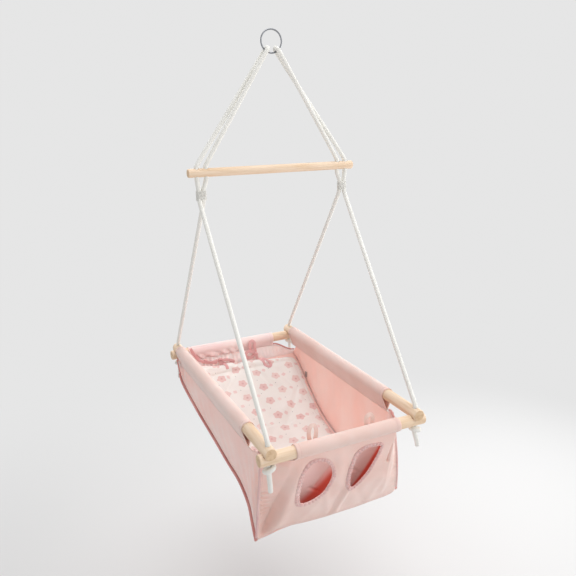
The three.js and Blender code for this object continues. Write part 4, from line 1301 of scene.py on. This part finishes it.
def pad_middle(across, along):
    """The pad's underside, from the top of its standing foot end to its head."""
    lying = np.clip((along - pad_stand) / (1 - pad_stand), 0, 1)
    near_head = np.clip(1 - pad_length * (1 - lying) / pad_corner_round, 0, 1)
    narrowed = pad_share - (1 - np.sqrt(1 - near_head ** 2)) * pad_corner_round / tub_half_width
    lying_share = pad_foot_share + (pad_head_share - pad_foot_share) * lying
    on_floor = floor_points(narrowed * across, lying_share)
    on_floor[..., 2] += np.interp(on_floor[..., 0], pad_lift_x, pad_lift) * smooth(lying, 0.9, 1.0)
    corner = floor_points(pad_share * across, np.full_like(along, pad_corner_share))
    turn = np.clip(along / pad_stand, 0, 1)[..., None]
    half, y, z = pad_end
    end = np.stack([across * half, np.full_like(along, y), np.full_like(along, z)], axis=-1)
    upper, lower = end + (corner - end) * turn, corner + (on_floor - corner) * turn
    return np.where((along >= pad_stand)[..., None], on_floor, upper + (lower - upper) * turn)


def outwards(points):
    """The directions square to a grid of points, towards the inside of the tub."""
    square = np.cross(np.gradient(points, axis=1), np.gradient(points, axis=0))
    return square / np.linalg.norm(square, axis=2)[..., None]


across_shares, along_shares = np.meshgrid(np.linspace(-1, 1, 110), np.linspace(0, 1, 210))
middle = pad_middle(across_shares, along_shares)
square = outwards(middle)
drawn_in = np.clip((1 - across_shares ** 6) * (1 - (2 * along_shares - 1) ** 10), 0, 1)
crease = pad_crease * np.exp(-(((along_shares - pad_crease_share) / 0.06) ** 2))
filled = smooth(along_shares, pad_stand / 2, 1.5 * pad_stand)
rim_share = np.minimum(1 - np.abs(across_shares), 1 - np.abs(2 * along_shares - 1))
rounding = 0.3 + 0.7 * np.sqrt(np.clip(rim_share / 0.025, 0, 1))
thick = (pad_edge + filled * (pad_crown * np.sqrt(drawn_in) - crease * drawn_in)) * rounding
centre_lift = pad_under + 0.5 * (pad_edge + filled * pad_crown * np.sqrt(drawn_in)) + 0.6
low_side = middle + square * (centre_lift - thick / 2)[..., None]
high_side = middle + square * (centre_lift + thick / 2)[..., None]
rows, columns = across_shares.shape
layer = rows * columns
faces = []
for r in range(rows - 1):
    for c in range(columns - 1):
        a, b = r * columns + c, (r + 1) * columns + c
        faces.append((a, b, b + 1, a + 1))
        faces.append((layer + a, layer + a + 1, layer + b + 1, layer + b))
rim = list(range(columns - 1))
rim += [r * columns + columns - 1 for r in range(rows - 1)]
rim += [(rows - 1) * columns + c for c in range(columns - 1, 0, -1)]
rim += [r * columns for r in range(rows - 1, 0, -1)]
faces += [(here, there, layer + there, layer + here) for here, there in zip(rim, rim[1:] + rim[:1])]
vertices = np.vstack([in_frame(low_side).reshape(-1, 3), in_frame(high_side).reshape(-1, 3)])
pad = face_outwards(make_object("printed_pad_cover", vertices, faces))
remesh = pad.modifiers.new("even_mesh", "REMESH")
remesh.mode = "VOXEL"
remesh.voxel_size = voxel
settle(pad)


def read_vectors(items, what):
    """One vector of each item of a mesh, as rows."""
    found = np.empty(3 * len(items))
    items.foreach_get(what, found)
    return found.reshape(-1, 3)


# The wadding swells in the sewn cover, less on the side that lies on the floor
before = read_vectors(pad.data.vertices, "co")
facing = read_vectors(pad.data.vertex_normals, "vector")
wadding = pad.modifiers.new("wadding", "CLOTH")
wadding.settings.use_pressure = True
wadding.settings.uniform_pressure_force = 4
wadding.settings.effector_weights.gravity = 0
for moment in range(1, 21):
    bpy.context.scene.frame_set(moment)
settle(pad)
swollen = read_vectors(pad.data.vertices, "co") - before
below = facing[:, 2] < -0.3
below |= (facing[:, 1] < -0.3) & (before[:, 2] < frame_corner[2] - 0.1)
limit = np.where(below, settle_limit, swell_limit)
far = np.linalg.norm(swollen, axis=1)
swollen *= np.minimum(1, limit / np.maximum(far, 1e-9))[:, None]
pad.data.vertices.foreach_set("co", (before + swollen).ravel())
pad.data.update()
bpy.context.scene.frame_set(1)
finer = pad.modifiers.new("finer", "SUBSURF")
finer.levels = finer.render_levels = 1
settle(pad)

# Where each point of the cover lies on the cut cloth, and which side of the pad it is on
lookup = KDTree(layer)
core = (low_side + high_side) / 2
for index, place in enumerate(in_frame(core).reshape(-1, 3)):
    lookup.insert(Vector(place), index)
lookup.balance()
profile = core[:, columns // 2]
arc = np.concatenate([[0], np.cumsum(np.linalg.norm(np.diff(profile, axis=0), axis=1))])
found = read_vectors(pad.data.vertices, "co")
nearest = np.array([lookup.find(Vector(p))[1] for p in found])
row, column = nearest // columns, nearest % columns
core_m = in_frame(core)
step_row = np.gradient(core_m, axis=0)[row, column]
off = found - core_m[row, column]
row_part = (off * step_row).sum(1) / (step_row ** 2).sum(1)
arc_steps = np.gradient(arc)
cloth_v = (arc[row] + row_part * arc_steps[row]) * mm
cloth_u = found[:, 0]
lifted = (off * outwards(core)[row, column]).sum(1) / mm

# Soft creases of the cover, each from one place to another with its width and its rise: across
# and along the tub on top, across and up on the standing end, all in millimetres
pad_folds = [
    ((-12, 325), (-92, 225), 8, -5.4),
    ((-38, 325), (-118, 235), 16, 5.4),
    ((141, 182), (45, 65), 8, -5.0),
    ((31, 294), (77, 203), 7, -3.8),
    ((-120, 180), (-60, 60), 14, 3.8),
    ((60, 120), (-70, 20), 16, 3.4),
    ((-150, 60), (-100, -60), 12, 3.6),
    ((110, 260), (150, 130), 10, -3.4),
    ((20, -40), (120, -120), 14, 3.2),
]
stand_folds = [
    ((-1, -150), (-40, -193), 4, -3.6),
    ((-58, -196), (-28, -216), 4, -3.4),
    ((62, -170), (88, -195), 4, -3.6),
]
in_mm = (found - frame_corner) / mm
soft = np.zeros(len(found))
on_top = lifted > 0
for start, end, width, rise in pad_folds:
    soft += np.where(on_top, ridge(in_mm[:, 0], in_mm[:, 1], start, end, width, rise), 0)
standing = in_mm[:, 1] < -255
for start, end, width, rise in stand_folds:
    soft += np.where(~on_top & standing, ridge(in_mm[:, 0], in_mm[:, 2], start, end, width, rise), 0)
across_pad = np.clip(in_mm[:, 0] / 195, -1, 1)
unevenness = waves(in_mm[:, 0], cloth_v / mm, 71, 2.4, 35, 120)
soft += np.where(on_top, (1 - across_pad ** 8) * unevenness, 0)
# Quilting puckers along the sewn edge
edge_near = np.exp(-((np.minimum(1 - np.abs(across_pad), 1) / 0.05) ** 2))
soft += 0.5 * edge_near * np.sin(cloth_v / mm * tau / 11)
raised = found + read_vectors(pad.data.vertex_normals, "vector") * (soft * mm)[:, None]
pad.data.vertices.foreach_set("co", raised.ravel())
pad.data.update()
loops = np.empty(len(pad.data.loops), int)
pad.data.loops.foreach_get("vertex_index", loops)
uv_layer = pad.data.uv_layers.new(name="UVMap")
cloth_places = np.column_stack([cloth_u[loops], cloth_v[loops]])
uv_layer.data.foreach_set("uv", cloth_places.astype(np.float32).ravel())


def beyond(x, z, start, end, fade):
    """How far a place lies to the lower right of a line, from 0 on it to 1."""
    run = np.array(start, float) - np.array(end, float)
    run /= np.linalg.norm(run)
    return smooth((x - start[0]) * run[1] - (z - start[1]) * run[0], 0, fade)


# Painted shade: deep coral on the pad's underside, at the lower right of each leg opening, where the fold
# lies in shade
x, z = in_mm[:, 0], in_mm[:, 2]
left_painted_shade = beyond(x, z, (6, -136), (-80, -214), 30)
right_painted_shade = beyond(x, z, (137, -126), (66, -232), 12)
deep = np.where(x < 32, left_painted_shade, right_painted_shade)
deep *= smooth(-in_mm[:, 1], 245, 275) * (1 - smooth(lifted, -1.0, 2.0))
for name, values in (("underside", 1 - smooth(lifted, -1.5, 1.5)), ("deep_fold", deep)):
    pad.data.attributes.new(name, "FLOAT", "POINT").data.foreach_set("value", values.astype(np.float32))
pad.data.shade_smooth()

print_finish = Finish("blossom_print_cotton", roughness=0.88, sheen=0.2)
u, v, _ = split(print_finish, print_finish.places((1, 1, 1), "UV"))
motif_pitch = 62 * mm


def blossoms(shift_u, shift_v, petals, size, seed):
    """One motif in each cell of a brick layout: its mask, and a random number for its tint."""
    column = (u + shift_u) / motif_pitch
    whole_column = column.math("FLOOR")
    row = (v + shift_v) / motif_pitch + whole_column * 0.5
    whole_row = row.math("FLOOR")
    cell = print_finish.node("ShaderNodeCombineXYZ", {}, [whole_column, whole_row, seed])
    chance = print_finish.node("ShaderNodeTexWhiteNoise", {"noise_dimensions": "3D"}, [cell])
    number = chance.out("Value")
    a = (column - whole_column - 0.5) * motif_pitch + (number - 0.5) * (8 * mm)
    b = (row - whole_row - 0.5) * motif_pitch - (number - 0.5) * (6 * mm)
    distance = (a * a + b * b).math("SQRT")
    turn = b.math("ARCTAN2", a) + number * tau
    edge = ((turn * petals).math("SINE") * 0.1 + 0.9) * size
    mask = print_finish.between(distance / edge, 1.05, 0.95)
    heart = print_finish.between(distance / (size * 0.24), 1.1, 0.9)
    return mask, heart, number


ground_tone = print_finish.noise(print_finish.places((1, 1, 1)), 10.0, 3.0)
cover = print_finish.mix(ground_tone, colour(246, 243, 239), colour(240, 233, 227))
dot_mask, *_ = blossoms(11 * mm, 29 * mm, 1, 1.4 * mm, 5)
cover = print_finish.mix(dot_mask * 0.75, cover, colour(112, 100, 108))
big_mask, big_heart, big_number = blossoms(0, 0, 5, 15.5 * mm, 1)
big_tint = print_finish.mix(big_number, colour(229, 186, 182), colour(236, 210, 204))
cover = print_finish.mix(big_mask * 0.85, cover, big_tint)
cover = print_finish.mix(big_heart * big_mask * 0.7, cover, colour(214, 164, 162))
small_mask, _, small_number = blossoms(31 * mm, 0.5 * motif_pitch, 4, 7 * mm, 3)
small_tint = print_finish.mix(small_number, colour(241, 218, 213), colour(232, 196, 193))
cover = print_finish.mix(small_mask * 0.8, cover, small_tint)
plain_side = print_finish.node("ShaderNodeAttribute", {"attribute_name": "underside"}).out("Fac")
deep_fold = print_finish.node("ShaderNodeAttribute", {"attribute_name": "deep_fold"}).out("Fac")
cover = print_finish.mix(plain_side, cover, colour(255, 226, 222))
# Painted shade: deep coral where the deep_fold attribute marks the shaded fold behind the leg openings
cover = print_finish.mix(deep_fold, cover, colour(246, 104, 86))
print_finish.set("Base Color", cover)
print_over = (u * (tau / thread_pitch)).math("SINE") * (v * (tau / thread_pitch)).math("SINE")
print_finish.bump(print_over, 0.08 * mm, 0.35)
fit(pad, print_finish, "cradle", "printed_cloth", "printed_pad")

pad_surface = BVHTree.FromObject(pad, bpy.context.evaluated_depsgraph_get())


def on_pad(x, y, above=1.0):
    """A place just above the pad's upper side, in millimetres."""
    from_above = Vector(in_frame((x, y, 0)))
    struck = pad_surface.ray_cast(from_above, Vector((0, 0, -1)))[0]
    if struck is None:
        struck = pad_surface.find_nearest(Vector(in_frame((x, y, -160))))[0]
    return x, y, (struck.z - frame_corner[2]) / mm + above


def laid(places, above=1.2):
    """A path over the pad, close above it, through places across and along."""
    route = through(np.array([(x, y, 0) for x, y in places], float), 3.0)
    return [on_pad(x, y, above) for x, y, _ in route]


for edge in (6, columns - 7):
    edge_row = []
    for place in high_side[50:-3, edge]:
        struck, facing_there, *_ = pad_surface.find_nearest(Vector(in_frame(place)))
        edge_row.append((np.array(struck + facing_there * 0.0002) - frame_corner) / mm)
    stitch_rows.append(edge_row)


# Ribbon ties: rose ribbon under the head sleeve that ties the pad in at two places. The right
# tie is a loose bow, and the left one a bow with its ribbon drawn flat along the panel's edge.

ribbon_finish = woven("rose_ribbon", colour(240, 190, 188), colour(226, 168, 168), 0.4, 0.3)
ribbon_edges = ribbon_finish.node("ShaderNodeSeparateXYZ", {}, [ribbon_finish.places((1, 1, 1), "UV")])
ribbon_turn = (ribbon_edges.out("X") - 0.5).math("ABSOLUTE") - 0.25
# Darker along both edges of the ribbon
dark_edges = ribbon_finish.between(ribbon_turn.math("ABSOLUTE"), 0.17, 0.24)
ribbon_tone = ribbon_finish.mix(dark_edges * 0.8, ribbon_finish.base, colour(176, 96, 104))
ribbon_finish.set("Base Color", ribbon_tone)


def ribbon(name, points, width, facing, thickness=0.8):
    """A flat ribbon along a path, whose face looks along the first and then the last of facing."""
    route = through(in_frame(points), 1.5 * mm)
    tangents = np.gradient(route, axis=0)
    tangents /= np.linalg.norm(tangents, axis=1)[:, None]
    shares = np.linspace(0, 1, len(route))[:, None]
    looks = np.array(facing[0], float) * (1 - shares) + np.array(facing[-1], float) * shares
    wide = np.cross(tangents, looks)
    wide /= np.linalg.norm(wide, axis=1)[:, None]
    square_to = np.cross(tangents, wide)
    turns = np.linspace(0, tau, 16, endpoint=False)
    flat_way = np.sign(np.cos(turns)) * np.abs(np.cos(turns)) ** 0.5 * width * mm / 2
    thick_way = np.sign(np.sin(turns)) * np.abs(np.sin(turns)) ** 0.8 * thickness * mm / 2
    grid = route[:, None] + wide[:, None] * flat_way[None, :, None]
    grid = grid + square_to[:, None] * thick_way[None, :, None]
    lengths = np.concatenate([[0], np.cumsum(np.linalg.norm(np.diff(route, axis=0), axis=1))])
    return face_outwards(skin(
        name, grid, round_columns=True, caps=True, across=np.linspace(0, 1, 17), along=lengths,
    ))


def joined(name, node, pieces):
    """One tie out of its ribbons."""
    bpy.ops.object.select_all(action="DESELECT")
    for piece in pieces:
        piece.select_set(True)
    bpy.context.view_layer.objects.active = pieces[0]
    bpy.ops.object.join()
    pieces[0].name = name
    fit(pieces[0], ribbon_finish, "cradle", "rose_trim", node)


def upright(places, y):
    """Places across and up, as points at one place along the tub."""
    return [(x, y, z) for x, z in places]


to_foot = [(-0.35, -1, 0.35)]
to_foot_and_up = [(0, -0.8, 0.6), (0, -0.4, 1)]
upper_loop = [(56, -68), (45, -57), (39, -45), (40, -31), (48, -24), (56, -32), (56, -48), (60, -66)]
lower_loop = [(56, -70), (44, -81), (29, -80), (22, -69), (31, -59), (46, -63), (56, -71)]
middle_knot = [(52, 336, -73), (58, 333.5, -69), (64, 335, -73), (59, 339, -77), (53, 336, -74)]
middle_tail = [(66, 322), (71, 306), (75, 290), (84, 281), (93, 288), (90, 303), (80, 318), (70, 327)]
joined("middle_ribbon_bow", "middle_bow", [
    ribbon("loop", upright(upper_loop, 338), 10, to_foot),
    ribbon("loop", upright(lower_loop, 336.5), 10, to_foot),
    ribbon("knot", middle_knot, 8, to_foot, thickness=2.8),
    ribbon("tail", [(60, 335, -73)] + laid(middle_tail, 1.8), 10, to_foot_and_up),
])
side_loop = [(-66, -72), (-50, -72), (-34, -77), (-22, -83), (-38, -88), (-56, -84), (-66, -75)]
side_knot = [(-75, 336, -69), (-69, 333, -66), (-64, 335, -70), (-69, 339, -75), (-75, 336, -71)]
side_tail = [(-64, 322), (-61, 308), (-59, 292)]
drawn_band = [
    (-70, -70), (-86, -75), (-106, -73), (-126, -66), (-141, -57), (-151, -44), (-160, -28), (-167, -12),
]
folded_band = [(-78, -67), (-94, -70), (-110, -67), (-124, -60)]
joined("side_ribbon_bow", "side_bow", [
    ribbon("loop", upright(side_loop, 335), 9, to_foot),
    ribbon("knot", side_knot, 8, to_foot, thickness=2.8),
    ribbon("tail", [(-68, 334, -73)] + laid(side_tail, 1.6), 10, to_foot_and_up),
    ribbon("band", upright(drawn_band, 337), 9, to_foot, thickness=1.8),
    ribbon("fold", upright(folded_band, 335.5), 5, to_foot),
])


# Toy loops: a short length of pale pink ribbon on each side, doubled and sewn upright into the
# foot sleeve, to hang a toy from.

for side, side_name, top in ((-1, "left", 11.0), (1, "right", 1.0)):
    base_x, base_y, base_z = side * 78.0, -342.6, -30.0
    rise = top - base_z
    loop = [(-3, -0.12), (-9, 0.2), (-10, 0.62), (-5, 0.95), (3, 0.99), (9, 0.72), (8, 0.3), (3, -0.12)]
    points = [(base_x + a, base_y + 0.6 * share, base_z + rise * share) for a, share in loop]
    made = ribbon(f"{side_name}_toy_loop", points, 10, [(-0.5, -1, 0.3)])
    fit(made, pale_pink, "cradle", "pale_pink_cloth", f"{side_name}_foot_loop")


# Tab: a plain piece of grey woven tape, folded over and sewn by its cut edges to the inside of
# the right side panel.

tab_low, tab_high = (np.array(corner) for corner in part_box("side_tab"))
tab_grid = []
for share in np.linspace(0, 1, 12):
    z = tab_high[2] + (tab_low[2] - tab_high[2]) * share
    x = (tab_low[0] + tab_high[0]) / 2 - 0.6 * mm * math.sin(math.pi * share)
    tab_grid.append([(x, y, z) for y in np.linspace(tab_low[1], tab_high[1], 8)])
tab = skin("plain_tab", tab_grid, across=np.linspace(0, 0.014, 8), along=np.linspace(0, 0.018, 12))
thickened(tab, 0.8 * mm)
tape = woven("grey_woven_tape", colour(184, 168, 163), colour(160, 144, 140), 0.2, 0.0)
fit(tab, tape, "cradle", "woven_tab", "side_tab")


# Stitches: every seam and hem is sewn with rose thread, in short even stitches that sit just
# proud of the cloth.

stitch_length, stitch_spacing, thread_thickness = 3.0 * mm, 4.4 * mm, 0.45 * mm
thread_finish = Finish("rose_sewing_thread", roughness=0.6, sheen=0.3)
thread_tone = thread_finish.noise(thread_finish.places((1, 1, 1)), 160.0, 2.0)
thread_colour = thread_finish.mix(thread_tone, colour(206, 150, 152), colour(186, 124, 130))
thread_finish.set("Base Color", thread_colour)
thread_finish.bump(thread_tone, 0.05 * mm, 0.4)


def stitching(name, finish):
    """A node tree that sets stitches along the edges of a mesh."""
    tree = bpy.data.node_groups.new(name, "GeometryNodeTree")
    face = tree.interface
    face.new_socket("Seam lines", in_out="INPUT", socket_type="NodeSocketGeometry")
    for label in ("Stitch length", "Stitch spacing", "Thread thickness"):
        face.new_socket(label, in_out="INPUT", socket_type="NodeSocketFloat")
    face.new_socket("Stitches", in_out="OUTPUT", socket_type="NodeSocketGeometry")

    def add(kind, settings=None, inputs=None):
        made = tree.nodes.new(kind)
        for setting, value in (settings or {}).items():
            setattr(made, setting, value)
        for key, value in (inputs or {}).items():
            if isinstance(value, bpy.types.NodeSocket):
                tree.links.new(value, made.inputs[key])
            else:
                made.inputs[key].default_value = value
        return made

    given = add("NodeGroupInput").outputs
    lines = add("GeometryNodeMeshToCurve", {}, {"Mesh": given["Seam lines"]})
    spaced = add("GeometryNodeResampleCurve", {"mode": "LENGTH"}, {
        "Curve": lines.outputs["Curve"], "Length": given["Stitch spacing"],
    })
    way = add("GeometryNodeInputTangent")
    turned = add("FunctionNodeAlignRotationToVector", {"axis": "X"}, {"Vector": way.outputs["Tangent"]})
    size = add("ShaderNodeCombineXYZ", {}, {
        "X": given["Stitch length"], "Y": given["Thread thickness"], "Z": given["Thread thickness"],
    })
    stitch = add("GeometryNodeMeshUVSphere", {}, {"Segments": 6, "Rings": 4, "Radius": 0.5})
    placed = add("GeometryNodeInstanceOnPoints", {}, {
        "Points": spaced.outputs["Curve"], "Instance": stitch.outputs["Mesh"],
        "Rotation": turned.outputs["Rotation"], "Scale": size.outputs["Vector"],
    })
    real = add("GeometryNodeRealizeInstances", {}, {"Geometry": placed.outputs["Instances"]})
    rounded = add("GeometryNodeSetShadeSmooth", {}, {"Geometry": real.outputs["Geometry"]})
    coloured = add("GeometryNodeSetMaterial", {}, {
        "Geometry": rounded.outputs["Geometry"], "Material": finish.material,
    })
    add("NodeGroupOutput", {}, {"Stitches": coloured.outputs["Geometry"]})
    return tree


line_points, line_edges = [], []
for row in stitch_rows:
    first = len(line_points)
    line_points += [tuple(p) for p in in_frame(row)]
    line_edges += [(k, k + 1) for k in range(first, len(line_points) - 1)]
line_mesh = bpy.data.meshes.new("seam_stitches")
line_mesh.from_pydata(line_points, line_edges, [])
stitches = bpy.data.objects.new("seam_stitches", line_mesh)
bpy.context.scene.collection.objects.link(stitches)
sewing = stitches.modifiers.new("sewing", "NODES")
sewing.node_group = stitching("stitches_along_seams", thread_finish)
sizes = {
    "Stitch length": stitch_length,
    "Stitch spacing": stitch_spacing,
    "Thread thickness": thread_thickness,
}
for item in sewing.node_group.interface.items_tree:
    if item.name in sizes:
        sewing[item.identifier] = sizes[item.name]
settle(stitches)
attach(stitches, "cradle")


# Room: a plain pale floor well below the cradle, with soft light from overhead and from the
# right, and a little from the front and the back, as in a white studio.

background = 0.79
room_fill = 0.44
floor_grey = (0.74, 0.74, 0.74, 1)
floor_z = -1.75
floor_half = 30.0
floor = skin("room_floor", [
    [(-floor_half, -floor_half, floor_z), (floor_half, -floor_half, floor_z)],
    [(-floor_half, floor_half, floor_z), (floor_half, floor_half, floor_z)],
])
room = Finish("pale_floor", roughness=0.9)
room.set("Base Color", floor_grey)
fx, fy, _ = split(room, room.places((1, 1, 1)))
far_away = room.between((fx * fx + fy * fy).math("SQRT"), 0.7, 2.2)
glow = room.node("ShaderNodeEmission", {}, {"Color": (background, background, background, 1)})
blended = room.node("ShaderNodeMixShader", {}, [far_away])
room.tree.links.new(room.shader.outputs[0], blended.socket.node.inputs[1])
room.tree.links.new(glow.socket, blended.socket.node.inputs[2])
room.tree.links.new(blended.socket, room.tree.nodes["Material Output"].inputs[0])
room.on(floor)

world = bpy.data.worlds.new("room_light")
world.use_nodes = True
bpy.context.scene.world = world
tree = world.node_tree
background_node = tree.nodes["Background"]
rays = tree.nodes.new("ShaderNodeLightPath")
seen_directly = tree.nodes.new("ShaderNodeMath")
seen_directly.operation = "MAXIMUM"
tree.links.new(rays.outputs["Is Camera Ray"], seen_directly.inputs[0])
tree.links.new(rays.outputs["Is Glossy Ray"], seen_directly.inputs[1])
strength = tree.nodes.new("ShaderNodeMix")
strength.data_type = "FLOAT"
strength.inputs[2].default_value = room_fill
strength.inputs[3].default_value = background
tree.links.new(seen_directly.outputs[0], strength.inputs[0])
background_node.inputs["Color"].default_value = (1, 1, 1, 1)
tree.links.new(strength.outputs[0], background_node.inputs["Strength"])


def lamp(name, place, target, size, power, tint=(1, 1, 1)):
    """A round soft light that looks at its target."""
    light = bpy.data.lights.new(name, "AREA")
    light.shape = "DISK"
    light.size = size
    light.energy = power
    light.color = tint
    made = bpy.data.objects.new(name, light)
    made.location = place
    made.rotation_euler = (Vector(target) - Vector(place)).to_track_quat("-Z", "Y").to_euler()
    bpy.context.scene.collection.objects.link(made)


middle_of_tub = (0, 0, -1.0)
lamp("overhead_light", (0.2, 0.1, 2.4), middle_of_tub, 3.0, 64)
lamp("key_light", (2.4, -1.5, 0.2), middle_of_tub, 1.6, 22, (1.0, 0.99, 0.975))
lamp("right_light", (2.4, 0.5, -0.9), middle_of_tub, 1.6, 21)
lamp("front_light", (0.7, -2.8, -0.3), middle_of_tub, 1.8, 9)
lamp("back_light", (0.2, 2.8, 0.0), middle_of_tub, 1.8, 20)

scene = bpy.context.scene
scene.view_settings.view_transform = "Standard"
